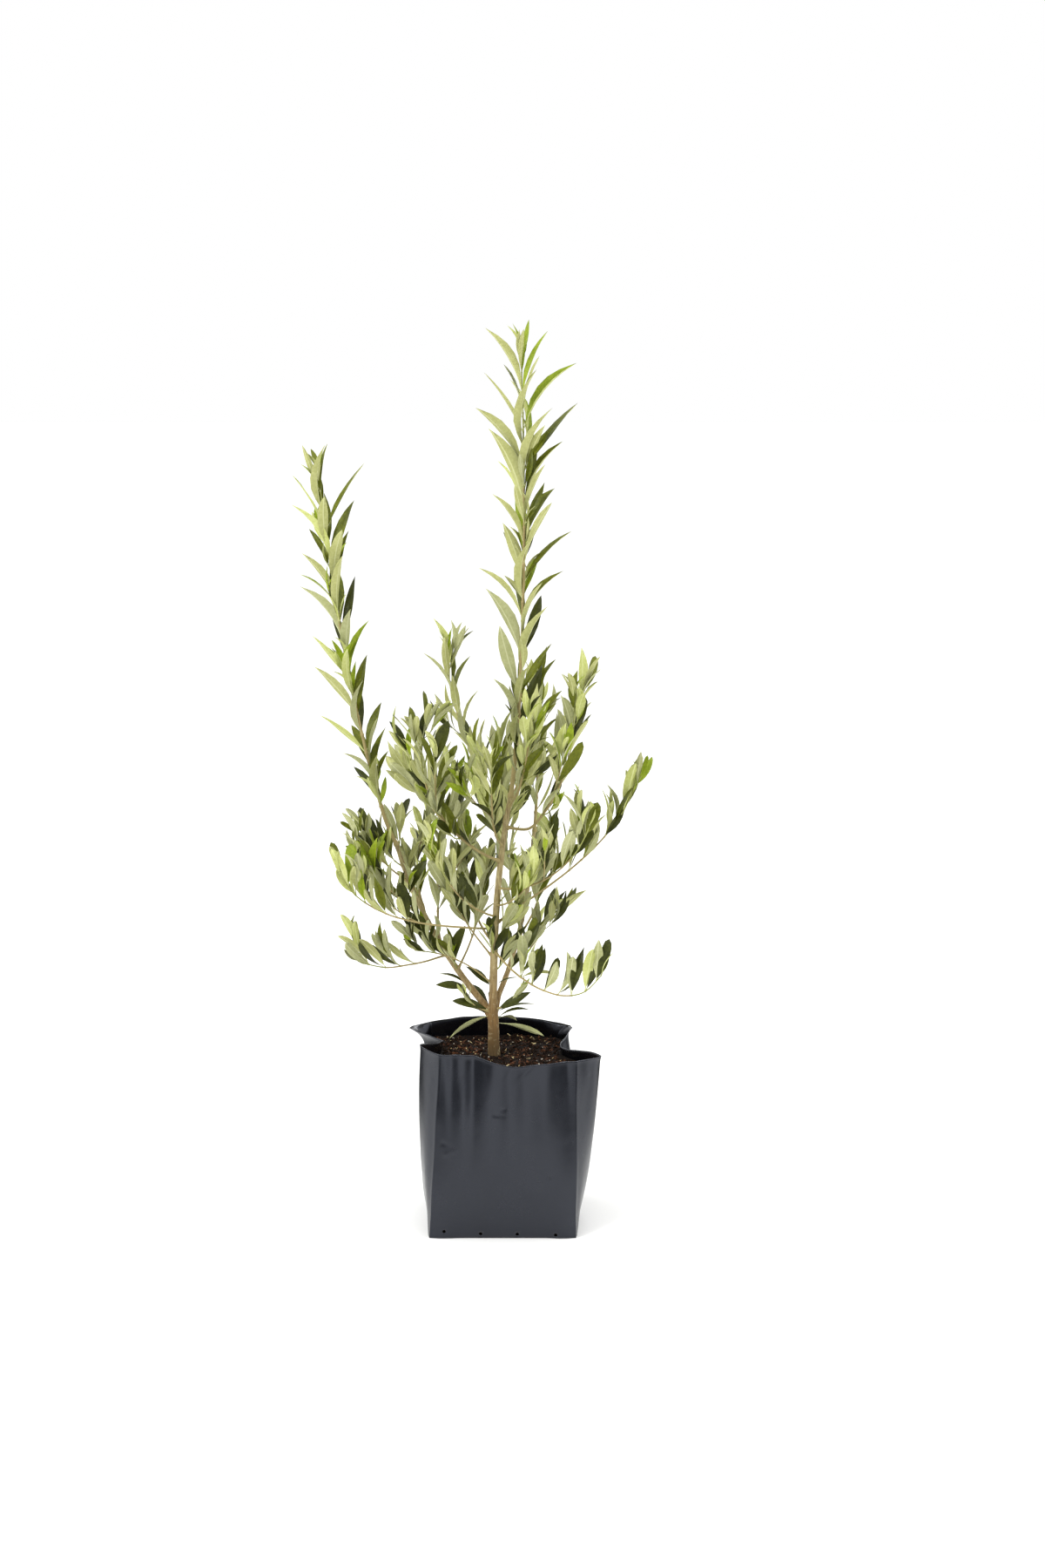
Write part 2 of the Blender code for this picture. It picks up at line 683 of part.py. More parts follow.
def side_twigs(branch, room, group):
    """The shoot's side twigs, to alternate sides. One that has no room on either is left out."""
    shoot = branch.shoot
    twigs = []
    for k in range(shoot.twigs):
        name = f"{shoot.name}_twig{k}"
        draw = random.Random(name)
        first, last = TWIG_ZONE
        place = station_at(branch.stations, first + (last - first) * (k + 0.5) / shoot.twigs)
        length = shoot.length * MM * draw.uniform(*TWIG_LENGTHS)
        swing = draw.uniform(-TWIG_SWING, TWIG_SWING)
        spread = math.radians(TWIG_SPREAD)
        for side in (-1, 1) if k % 2 == 0 else (1, -1):
            way = place.along * math.cos(spread) + place.level * side * math.sin(spread)
            way = (way + UP * TWIG_PULL).normalized()
            heading = math.degrees(math.atan2(way.y, way.x))
            rise = math.degrees(math.asin(way.z))
            route = grow(place.point, length, heading, swing, rise, (UPRIGHT - rise) * TWIG_RISE,
                         1.0, (place.radius * TWIG_GIRTH, TIP_RADIUS), STEM_STEP)
            rings = [ring_round(station, station.radius * FACET_GROWTH + TWIG_CLEAR)
                     for station in route]
            if not any(room.touches(low + high, (shoot.name,)) for low, high in zip(rings, rings[1:])):
                twig = stem_object(name, route, group, three_sided=True)
                room.add(name, twig)
                twigs.append(Branch(name, shoot, route, TWIG_PAIRS, TWIG_BARE, twig))
                break
    return twigs


def leaf_stance(place, turn, splay, perk, roll):
    """Which way a leaf points and which way its upper side faces, at an angle round its stem."""
    radial = place.level * math.cos(turn) + place.along.cross(place.level) * math.sin(turn)
    if perk and radial.z < 0:
        radial.z = -radial.z
    along = place.along * math.cos(splay) + radial * math.sin(splay)
    along = (along + UP * perk).normalized()
    face = along * radial.dot(along) - radial
    if face.length < EDGE_ON:
        face = place.along - along * place.along.dot(along)
    face.normalize()
    return along, face * math.cos(roll) + along.cross(face) * math.sin(roll)


def leaves_of(branch, room, group):
    """The leaves of one stem, in crossed pairs, leaving out each that finds no room."""
    shoot = branch.shoot
    leaves = []
    for k in range(branch.pairs):
        share = branch.bare + (1 - branch.bare) * (k + PAIR_PLACE) / branch.pairs
        place = station_at(branch.stations, share)
        last = k == branch.pairs - 1
        for side in (0, 1):
            name = f"{branch.name}_leaf{k}_{side}"
            draw = random.Random(name)
            length = (shoot.leaf[0] + (shoot.leaf[1] - shoot.leaf[0]) * share) * MM
            length *= draw.uniform(*LEAF_LENGTHS) * (END_LENGTH if last else 1.0)
            splay = shoot.splay * draw.uniform(*LEAF_SPLAYS) * (END_SPLAY if last else 1.0)
            first = shoot.phase + PAIR_TURN * k + 180 * side + draw.uniform(-LEAF_SWING, LEAF_SWING)
            roll = draw.uniform(*LEAF_ROLLS)
            node = place.point + place.along * PAIR_SHIFT * (side or -1)
            for extra in LEAF_TRIES:
                along, face = leaf_stance(place, math.radians(first + extra), math.radians(splay),
                                          shoot.perk, math.radians(roll))
                root = node - along * place.radius * LEAF_SINK
                shape = (root, along, face, place.along, length, length * shoot.breadth)
                if room.touches(leaf_corners(*shape, grown=LEAF_CLEAR), (shoot.name, branch.name)):
                    continue
                outer = leaf_corners(*shape, grown=LEAF_CLEAR, start=LEAF_FREE)
                if room.touches(outer, (branch.name,)):
                    continue
                leaf = object_from(name, hull(leaf_corners(*shape)), group)
                room.add(shoot.name, leaf)
                leaves.append(leaf)
                break
    return leaves


def make_shoots(limbs, group):
    """All leafy shoots: first every stem, then the twigs, then the leaves, then each union."""
    room = Room()
    for piece, _ in limbs.values():
        room.add(piece.name, piece)
    stems = [stem_of(shoot, limbs, group) for shoot in SHOOTS]
    for stem in stems:
        room.add(stem.name, stem.object)
    twigs = {stem.name: side_twigs(stem, room, group) for stem in stems}
    for stem in stems:
        parts = [twig.object for twig in twigs[stem.name]]
        for branch in (stem, *twigs[stem.name]):
            parts += leaves_of(branch, room, group)
        fuse(stem.object, parts, group)
        dress(stem.object, OLIVE_LEAF)


def main():
    """Builds the bag, its filling and the tree."""
    clear_scene()
    group = new_collection("potted_olive_tree")
    make_bag(group)
    make_soil(group)
    limbs = {"trunk": make_trunk(group)}
    for limb in LIMBS:
        limbs[limb.name] = make_limb(limb, group)
    make_shoots(limbs, group)


main()
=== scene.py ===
"""Young olive tree in a gusseted nursery bag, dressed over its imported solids.

Sizes are in millimetres where a name or docstring doesn't say otherwise, and meshes are in metres.
The bag's front faces -Y and the origin is the middle of its flat underside. The stem and boughs get
their bark, and every leafy shoot grows again by the source's rule, down to its finest twigs.
"""
import itertools
import json
import logging
import math
import random
from collections.abc import Callable, Iterable, Iterator, Sequence
from contextlib import contextmanager
from dataclasses import dataclass, field
from enum import Enum, IntEnum

import bmesh
import bpy
import numpy as np
from mathutils import Matrix, Vector, noise
from mathutils.bvhtree import BVHTree

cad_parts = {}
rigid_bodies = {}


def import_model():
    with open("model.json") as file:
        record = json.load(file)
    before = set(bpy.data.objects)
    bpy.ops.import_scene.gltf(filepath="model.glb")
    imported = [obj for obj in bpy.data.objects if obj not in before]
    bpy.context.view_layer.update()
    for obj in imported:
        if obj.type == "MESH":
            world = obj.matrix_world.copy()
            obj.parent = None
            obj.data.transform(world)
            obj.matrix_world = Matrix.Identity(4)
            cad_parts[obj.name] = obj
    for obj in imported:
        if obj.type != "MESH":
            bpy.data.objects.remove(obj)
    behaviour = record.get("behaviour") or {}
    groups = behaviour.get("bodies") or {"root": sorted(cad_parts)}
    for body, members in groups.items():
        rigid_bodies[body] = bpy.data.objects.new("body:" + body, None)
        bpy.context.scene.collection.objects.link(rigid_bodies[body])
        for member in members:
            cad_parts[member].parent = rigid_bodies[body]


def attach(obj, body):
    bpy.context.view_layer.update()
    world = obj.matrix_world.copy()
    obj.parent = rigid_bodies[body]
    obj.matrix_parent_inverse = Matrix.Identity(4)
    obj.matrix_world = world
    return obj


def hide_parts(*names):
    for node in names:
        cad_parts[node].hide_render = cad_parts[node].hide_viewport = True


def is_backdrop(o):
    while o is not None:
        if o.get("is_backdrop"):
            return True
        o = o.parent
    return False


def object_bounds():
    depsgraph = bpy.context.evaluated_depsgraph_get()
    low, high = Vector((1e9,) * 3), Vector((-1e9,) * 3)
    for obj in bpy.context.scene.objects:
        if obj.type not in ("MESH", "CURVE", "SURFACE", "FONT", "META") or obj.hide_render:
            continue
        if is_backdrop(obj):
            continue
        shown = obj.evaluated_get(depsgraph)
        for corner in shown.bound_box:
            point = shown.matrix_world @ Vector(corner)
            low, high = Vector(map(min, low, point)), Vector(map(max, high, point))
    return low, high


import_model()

CAD_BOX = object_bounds()
LOG = logging.getLogger("potted_olive_tree")
MM = 0.001
UP = Vector((0.0, 0.0, 1.0))
BODY = "root"

Piece = bpy.types.Object
Mesh = bpy.types.Mesh
Material = bpy.types.Material
Socket = bpy.types.NodeSocket
Shape = bmesh.types.BMesh
Colour = tuple[float, float, float, float]
Pair = tuple[float, float]
Triple = tuple[float, float, float]
Ring = list[Vector]
Route = list[tuple[Vector, float]]       # points, each with the radius there


# --- Small tools ---

def linear(code: str) -> Colour:
    """Turns an sRGB hex value to a linear colour.

    Args:
        code: The value, such as "#4a5024".

    Returns:
        Red, green, blue and an alpha of 1.
    """
    channels = [int(code[k:k + 2], 16) / 255 for k in (1, 3, 5)]
    bent = [c / 12.92 if c <= 0.04045 else ((c + 0.055) / 1.055) ** 2.4 for c in channels]
    return (*bent, 1.0)


def per_metre(size: float) -> float:
    """The scale of a pattern on metres whose features are this many millimetres wide."""
    return 1000.0 / size


@dataclass
class NodeWork:
    """A tree of nodes that is being made."""
    tree: bpy.types.NodeTree

    def add(self, kind: str, inputs: dict | None = None, **settings: object) -> bpy.types.Node:
        """Adds a node with its settings and links.

        Args:
            kind: Blender's name for the node's type.
            inputs: Values, or other nodes' output sockets, by the input's name or number.
            settings: The node's own properties.

        Returns:
            The new node.
        """
        made = self.tree.nodes.new(kind)
        for name, value in settings.items():
            setattr(made, name, value)
        for key, value in (inputs or {}).items():
            socket = made.inputs[key]
            if isinstance(value, Socket):
                self.tree.links.new(value, socket)
            else:
                socket.default_value = value
        return made


def new_object(name: str, mesh: Mesh) -> Piece:
    """Puts a mesh into the scene as an object at the origin.

    Args:
        name: The object's name.
        mesh: Its mesh.

    Returns:
        The object.
    """
    piece = bpy.data.objects.new(name, mesh)
    bpy.context.scene.collection.objects.link(piece)
    return piece


def object_from(name: str, shape: Shape) -> Piece:
    """Turns a bmesh into an object and frees it.

    Args:
        name: The object's name.
        shape: The bmesh.

    Returns:
        The object.
    """
    mesh = bpy.data.meshes.new(name)
    shape.to_mesh(mesh)
    shape.free()
    return new_object(name, mesh)


def settle(piece: Piece) -> Piece:
    """Applies a piece's modifiers and removes them, with a first material slot that is empty.

    Args:
        piece: The piece.

    Returns:
        The same piece, with its plain mesh.
    """
    bpy.context.view_layer.update()
    graph = bpy.context.evaluated_depsgraph_get()
    mesh = bpy.data.meshes.new_from_object(piece.evaluated_get(graph))
    piece.modifiers.clear()
    piece.data = mesh
    if mesh.materials and not mesh.materials[0]:
        mesh.materials.pop(index=0)
    return piece


@contextmanager
def shelf_of(name: str, shapes: Iterable[Piece]) -> Iterator[bpy.types.Collection]:
    """Keeps shapes in a collection while a tree picks from them, then removes them.

    Args:
        name: The collection's name.
        shapes: The shapes.

    Yields:
        The collection.
    """
    shelf = bpy.data.collections.new(name)
    bpy.context.scene.collection.children.link(shelf)
    for made in shapes:
        bpy.context.scene.collection.objects.unlink(made)
        shelf.objects.link(made)
    yield shelf
    for made in list(shelf.objects):
        bpy.data.objects.remove(made, do_unlink=True)
    bpy.data.collections.remove(shelf)


def add_skin(shape: Shape, rings: Sequence[np.ndarray], tip: Sequence[float],
             ) -> list[list[bmesh.types.BMVert]]:
    """Skins closed rings of points with smooth faces, and closes the last ring to a tip.

    Args:
        shape: What the skin is added to.
        rings: The rings, in metres, each with as many points.
        tip: The point that closes the last one.

    Returns:
        Each ring's vertices.
    """
    rows = [[shape.verts.new(point) for point in ring] for ring in rings]
    end = shape.verts.new(tip)
    for low, high in zip(rows, [*rows[1:], None]):
        for here, after in zip(range(len(low)), [*range(1, len(low)), 0]):
            above = (high[after], high[here]) if high else (end,)
            shape.faces.new((low[here], low[after], *above)).smooth = True
    return rows


def hand_in(piece: Piece, slot: str, nodes: Sequence[str]) -> None:
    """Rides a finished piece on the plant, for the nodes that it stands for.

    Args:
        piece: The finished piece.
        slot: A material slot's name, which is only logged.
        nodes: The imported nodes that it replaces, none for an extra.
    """
    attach(piece, BODY)
    if nodes:
        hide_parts(*nodes)
    LOG.info("%s: %d faces, slot %s", piece.name, len(piece.data.polygons), slot)


class GeometryTree(NodeWork):
    """A Geometry Nodes tree with named inputs, which ends in Realize Instances and Set Material."""

    def __init__(self, name: str, inputs: dict[str, str]) -> None:
        """Starts the tree.

        Args:
            name: The tree's name.
            inputs: Socket types by the input's name.
        """
        super().__init__(bpy.data.node_groups.new(name, "GeometryNodeTree"))
        face = self.tree.interface
        face.new_socket("Geometry", in_out="OUTPUT", socket_type="NodeSocketGeometry")
        for label, kind in {"Geometry": "NodeSocketGeometry", **inputs}.items():
            face.new_socket(label, in_out="INPUT", socket_type=kind)
        self.given = self.add("NodeGroupInput").outputs

    def finish(self, shape: Socket, coats: dict[str, Socket | bool]) -> None:
        """Realizes the instances and sets the materials.

        Args:
            shape: The geometry so far.
            coats: What each material input covers, by the input's name.
        """
        last = self.add("GeometryNodeRealizeInstances", {"Geometry": shape}).outputs[0]
        for label, cover in coats.items():
            last = self.add("GeometryNodeSetMaterial", {
                "Geometry": last, "Selection": cover, "Material": self.given[label]}).outputs[0]
        self.add("NodeGroupOutput", {0: last})

    def run(self, piece: Piece, values: dict[str, object]) -> Piece:
        """Runs the tree on a piece and keeps the result as its plain mesh.

        Args:
            piece: A mesh object.
            values: What each named input is set to.

        Returns:
            The same object with its new mesh.
        """
        modifier = piece.modifiers.new(self.tree.name, "NODES")
        modifier.node_group = self.tree
        for item in self.tree.interface.items_tree:
            if item.name in values:
                modifier[item.identifier] = values[item.name]
        return settle(piece)


# --- Finishes ---

class Surface(NodeWork):
    """A material being made: its tree, its Principled shader and its Object coordinates."""

    def __init__(self, name: str, **constants: float | Colour) -> None:
        """Starts a material.

        Args:
            name: The finish's name.
            constants: Values of the shader's own sockets, with _ for a space.
        """
        self.material = bpy.data.materials.new(name)
        self.material.use_nodes = True
        super().__init__(self.material.node_tree)
        self.shader = self.tree.nodes["Principled BSDF"]
        for label, value in constants.items():
            self.shader.inputs[label.replace("_", " ")].default_value = value
        self.place = self.add("ShaderNodeTexCoord").outputs["Object"]

    def set(self, label: str, source: Socket) -> None:
        """Links a socket to one of the shader's inputs."""
        self.tree.links.new(source, self.shader.inputs[label])

    def lay(self, below: Colour | Socket, tone: str, pattern: Socket,
            span: Pair = (0.0, 1.0), most: float = 1.0) -> Socket:
        """Lays a colour over another where a pattern is strong.

        Args:
            below: The colour so far.
            tone: The colour that is laid over it.
            pattern: The pattern.
            span: The pattern's values where the tone starts to show and where it is at its most.
            most: The share that shows there.

        Returns:
            The new colour.
        """
        share = self.add("ShaderNodeMapRange", {
            "Value": pattern, "From Min": span[0], "From Max": span[1], "To Max": most})
        return self.add("ShaderNodeMix", {
            "Factor": share.outputs["Result"], 6: below, 7: linear(tone),
        }, data_type="RGBA").outputs[2]

    def dress(self, colour: Socket, pattern: Socket, strength: float, depth: float) -> Material:
        """Gives the surface its colour and its fine relief.

        Args:
            colour: The colour.
            pattern: The pattern of the relief.
            strength: How strongly it shows.
            depth: Its depth.

        Returns:
            The finished material.
        """
        relief = self.add("ShaderNodeBump", {
            "Height": pattern, "Strength": strength, "Distance": depth * MM})
        self.set("Base Color", colour)
        self.set("Normal", relief.outputs["Normal"])
        return self.material


@dataclass(frozen=True)
class PolytheneFilm:
    """Blown black polythene: a glossy blue-grey sheen on nearly black, dusty where it is handled."""
    name: str = "blown_polythene_film"
    black: str = "#0e0f12"
    grey: str = "#1b1d22"
    dust: str = "#4a4946"
    sheen: str = "#e9eeff"       # what its gloss is tinted with
    cloud: float = 34.0          # width of the greyer clouds
    die_line: float = 1.1        # spacing of the faint lines that the film's die leaves
    speck: float = 2.2           # size of the dust specks

    def make(self) -> Material:
        """Builds the material.

        Returns:
            The material.
        """
        film = Surface(self.name, IOR=1.51, Specular_Tint=linear(self.sheen))
        clouds = film.add("ShaderNodeTexNoise", {
            "Vector": film.place, "Scale": per_metre(self.cloud), "Detail": 4.0, "Roughness": 0.55})
        specks = film.add("ShaderNodeTexNoise", {
            "Vector": film.place, "Scale": per_metre(self.speck), "Detail": 3.0, "Roughness": 0.7})
        tone = film.lay(linear(self.black), self.grey, clouds.outputs["Fac"])
        coat = film.lay(tone, self.dust, specks.outputs["Fac"], span=(0.64, 0.80), most=0.22)
        satin = film.add("ShaderNodeMapRange", {
            "Value": clouds.outputs["Fac"], "From Min": 0.3, "From Max": 0.7,
            "To Min": 0.19, "To Max": 0.30})
        film.set("Roughness", satin.outputs["Result"])
        tall = film.add("ShaderNodeMapping", {"Vector": film.place, "Scale": (1.0, 1.0, 0.06)})
        lines = film.add("ShaderNodeTexNoise", {
            "Vector": tall.outputs["Vector"], "Scale": per_metre(self.die_line), "Detail": 2.0})
        return film.dress(coat, lines.outputs["Fac"], strength=0.10, depth=0.15)


@dataclass(frozen=True)
class DampFragment:
    """Damp organic bits, dull and dark, each with paler fibres where it has dried.

    grain is the width of its fibres and blotch the size of its dry patches.
    """
    name: str
    dark: str
    pale: str
    grain: float
    blotch: float
    roughness: float = 0.92

    def make(self) -> Material:
        """Builds the material.

        Returns:
            The material.
        """
        bit = Surface(self.name, Roughness=self.roughness, Specular_IOR_Level=0.15)
        patches = bit.add("ShaderNodeTexNoise", {
            "Vector": bit.place, "Scale": per_metre(self.blotch), "Detail": 5.0, "Roughness": 0.65})
        tone = bit.lay(linear(self.dark), self.pale, patches.outputs["Fac"], span=(0.34, 0.68))
        fibres = bit.add("ShaderNodeTexNoise", {
            "Vector": bit.place, "Scale": per_metre(self.grain), "Detail": 6.0, "Roughness": 0.7})
        return bit.dress(tone, fibres.outputs["Fac"], strength=0.7, depth=0.5)


@dataclass(frozen=True)
class OliveBark:
    """Young olive bark: smooth, in fine streaks that run up the stem, darker low down and paler higher
    up.
    """
    low: str = "#4d3c20"
    middle: str = "#8d6d40"
    high: str = "#ab9d70"
    streak: str = "#655030"
    scurf: str = "#b9ab84"
    turns: Triple = (178.0, 216.0, 290.0)  # heights of the three colours
    streak_width: float = 1.6
    scurf_size: float = 5.0

    def make(self) -> Material:
        """Builds the material.

        Returns:
            The material.
        """
        bark = Surface("young_olive_bark", Roughness=0.66, Specular_IOR_Level=0.35)
        height = bark.add("ShaderNodeSeparateXYZ", {"Vector": bark.place})
        base = linear(self.low)
        for tone, bottom, top in zip((self.middle, self.high), self.turns, self.turns[1:]):
            base = bark.lay(base, tone, height.outputs["Z"], span=(bottom * MM, top * MM))
        tall = bark.add("ShaderNodeMapping", {"Vector": bark.place, "Scale": (1.0, 1.0, 0.12)})
        streaks = bark.add("ShaderNodeTexNoise", {
            "Vector": tall.outputs["Vector"], "Scale": per_metre(self.streak_width),
            "Detail": 5.0, "Roughness": 0.6})
        patches = bark.add("ShaderNodeTexNoise", {
            "Vector": bark.place, "Scale": per_metre(self.scurf_size), "Detail": 4.0})
        lined = bark.lay(base, self.streak, streaks.outputs["Fac"], span=(0.40, 0.66), most=0.75)
        coat = bark.lay(lined, self.scurf, patches.outputs["Fac"], span=(0.56, 0.70), most=0.5)
        return bark.dress(coat, streaks.outputs["Fac"], strength=0.5, depth=0.3)


@dataclass(frozen=True)
class TwigBark:
    """The skin of this year's wood: fine-grained and matt, with scattered paler dots."""
    name: str
    base: str
    shade: str
    dot: str
    blotch: float = 7.0
    dot_size: float = 1.2

    def make(self) -> Material:
        """Builds the material.

        Returns:
            The material.
        """
        skin = Surface(self.name, Roughness=0.62, Specular_IOR_Level=0.35)
        patches = skin.add("ShaderNodeTexNoise", {
            "Vector": skin.place, "Scale": per_metre(self.blotch), "Detail": 4.0})
        cells = skin.add("ShaderNodeTexVoronoi", {
            "Vector": skin.place, "Scale": per_metre(self.dot_size)})
        tone = skin.lay(linear(self.base), self.shade, patches.outputs["Fac"])
        coat = skin.lay(tone, self.dot, cells.outputs["Distance"], span=(0.30, 0.10), most=0.55)
        return skin.dress(coat, patches.outputs["Fac"], strength=0.4, depth=0.3)


@dataclass(frozen=True)
class LeafSkin:
    """One side of a leaf: waxy where it is smooth, downy where it has sheen."""
    name: str
    base: str
    shade: str
    roughness: float
    gloss: float = 0.5
    sheen: float = 0.0
    wax: float = 0.0
    patch: float = 26.0          # width of the lighter and darker patches, which span several leaves
    mottle: float = 2.4          # and of the fine mottling on each

    def make(self) -> Material:
        """Builds the material.

        Returns:
            The material.
        """
        skin = Surface(self.name, Roughness=self.roughness, Specular_IOR_Level=self.gloss,
                       Sheen_Weight=self.sheen, Sheen_Roughness=0.5, Coat_Weight=self.wax,
                       Coat_Roughness=0.32)
        patches = skin.add("ShaderNodeTexNoise", {
            "Vector": skin.place, "Scale": per_metre(self.patch), "Detail": 2.0})
        mottles = skin.add("ShaderNodeTexNoise", {
            "Vector": skin.place, "Scale": per_metre(self.mottle), "Detail": 3.0})
        blend = skin.add("ShaderNodeMath", {
            0: patches.outputs["Fac"], 1: mottles.outputs["Fac"]}, operation="ADD")
        tone = skin.lay(linear(self.base), self.shade, blend.outputs[0], span=(0.75, 1.25))
        return skin.dress(tone, mottles.outputs["Fac"], strength=0.25, depth=0.2)


class Tint(Enum):
    """How old a leaf is, which its colours follow. Each holds its upper side, underside and rib."""
    MATURE = ("mature", ("#2b300a", "#434812"), ("#9da06c", "#b4b686"), "#bec092")
    GREEN = ("green", ("#4d5412", "#6b711a"), ("#a2a464", "#b8ba7c"), "#c2c48c")
    FRESH = ("fresh", ("#75871a", "#93a329"), ("#afb564", "#c4c982"), "#cbd08e")

    def materials(self) -> dict[str, Material]:
        """Makes the leaf's three materials.

        Returns:
            The materials of its upper side, underside and rib, by the leaf tree's names.
        """
        label, upper, under, rib = self.value
        return {
            "Upper": LeafSkin(f"waxy_{label}_leaf", *upper, roughness=0.42, gloss=0.2,
                              wax=0.03).make(),
            "Under": LeafSkin(f"downy_{label}_underside", *under, roughness=0.8, gloss=0.3,
                              sheen=0.05).make(),
            "Rib": LeafSkin(f"{label}_leaf_rib", rib, rib, roughness=0.6).make(),
        }


# --- The growing rule ---

@dataclass
class Station:
    """A place on a stem: its point, its direction, a level sideways direction and its radius."""
    point: Vector
    along: Vector
    level: Vector
    radius: float


def direction(heading: float, rise: float) -> Vector:
    """The unit vector at a heading and a rise in degrees."""
    h, r = math.radians(heading), math.radians(rise)
    return Vector((math.cos(r) * math.cos(h), math.cos(r) * math.sin(h), math.sin(r)))


def angles(way: Vector) -> Pair:
    """The heading and rise of a direction, in degrees."""
    return math.degrees(math.atan2(way.y, way.x)), math.degrees(math.asin(way.z))


@dataclass(frozen=True)
class Bearing:
    """Which way a stem heads, in degrees: its heading and rise, and how each changes by its tip.

    The rise changes late where bend is large.
    """
    heading: float
    turn: float
    rise: float
    lift: float
    bend: float = 1.0

    def at(self, share: float) -> Vector:
        """The direction at a share of the stem."""
        return direction(self.heading + self.turn * share, self.rise + self.lift * share ** self.bend)

    def grow(self, start: Vector, length: float, girth: Pair,
             step: float) -> list[Station]:
        """Stations along a stem, in metres.

        Args:
            start: Its foot.
            length: Its length.
            girth: Its radius at the foot and at the tip.
            step: About how long its pieces are.

        Returns:
            The stations from foot to tip.
        """
        count = max(2, round(length / step))
        point = start.copy()
        stations = []
        for k in range(count + 1):
            share = k / count
            level = direction(self.heading + self.turn * share + 90, 0)
            radius = girth[0] + (girth[1] - girth[0]) * share
            stations.append(Station(point.copy(), self.at(share), level, radius))
            point += self.at((k + 0.5) / count if k else 0.0) * (length / count)
        return stations


def station_at(stations: Sequence[Station], share: float) -> Station:
    """The station at a share of a stem's length.

    Args:
        stations: The stem's stations.
        share: The share.

    Returns:
        The station.
    """
    place = min(max(share, 0.0), 1.0) * (len(stations) - 1)
    k = min(int(place), len(stations) - 2)
    t = place - k
    a, b = stations[k], stations[k + 1]
    return Station(a.point.lerp(b.point, t), a.along.lerp(b.along, t).normalized(),
                   a.level.lerp(b.level, t).normalized(), a.radius + (b.radius - a.radius) * t)


def share_at_height(stations: Sequence[Station], height: float) -> float:
    """The share of a limb's length at which it reaches a height, 1 at its tip.

    Args:
        stations: The limb's stations.
        height: The height, in metres.

    Returns:
        The share.
    """
    for k, (a, b) in enumerate(zip(stations, stations[1:])):
        if height <= b.point.z:
            return (k + (height - a.point.z) / (b.point.z - a.point.z)) / (len(stations) - 1)
    return 1.0


def curve_through(before: Vector, here: Vector, after: Vector, beyond: Vector, t: float) -> Vector:
    """A point of the smooth curve from here to after.

    Args:
        before, here, after, beyond: Four points in a row.
        t: The share of the way from here to after.

    Returns:
        The point.
    """
    return 0.5 * (2 * here + (after - before) * t
                  + (2 * before - 5 * here + 4 * after - beyond) * t ** 2
                  + (3 * here - before - 3 * after + beyond) * t ** 3)


def smooth_route(stations: Sequence[Station], share: float) -> Vector:
    """The point at a share of the smooth line through a stem's stations.

    Args:
        stations: The stations.
        share: The share.

    Returns:
        The point.
    """
    last = len(stations) - 1
    place = min(max(share, 0.0), 1.0) * last
    k = min(int(place), last - 1)
    points = [stations[min(max(k + step, 0), last)].point for step in (-1, 0, 1, 2)]
    return curve_through(*points, place - k)


@dataclass(frozen=True)
class Limb:
    """A bare tapering limb, from where it leaves the fork."""
    name: str
    start: Triple
    length: float
    bearing: Bearing
    girth: Pair

    def grown(self, step: float) -> list[Station]:
        """Its stations, in metres, about step millimetres apart."""
        return self.bearing.grow(Vector(self.start) * MM, self.length * MM,
                                 tuple(radius * MM for radius in self.girth), step * MM)


@dataclass(frozen=True)
class Shoot:
    """A leafy shoot.

    springs is the height of its foot on the parent limb, or None at the limb's tip.
    """
    name: str
    parent: str
    springs: float | None
    length: float
    bearing: Bearing
    pairs: int
    leaf: Pair                   # length at the foot and at the tip
    breadth: float               # width over length
    splay: float                 # angle between leaf and stem
    perk: float = 0.0            # pull of the leaves towards the sky
    phase: float = 45.0          # angle of the first pair round the stem
    bare: float = 0.08           # share of the stem below the first pair
    girth: float = 1.5           # radius at the foot
    twigs: int = 0


TRUNK = Limb("trunk", (-8.1, 0, 173.8), 50, Bearing(180, 0, 90, -2), (6.9, 6.0))
LIMBS = (
    Limb("leader", (-8.7, -0.4, 236), 215, Bearing(0, 0, 89, -10, 1.5), (4.3, 2.6)),
    Limb("left_bough", (-18.5, 4, 228.5), 192, Bearing(163, 8, 47, 27), (3.6, 2.3)),
    Limb("right_back_bough", (-3.5, 9, 236), 180, Bearing(46, 26, 54, 22, 0.7), (2.9, 2.0)),
)

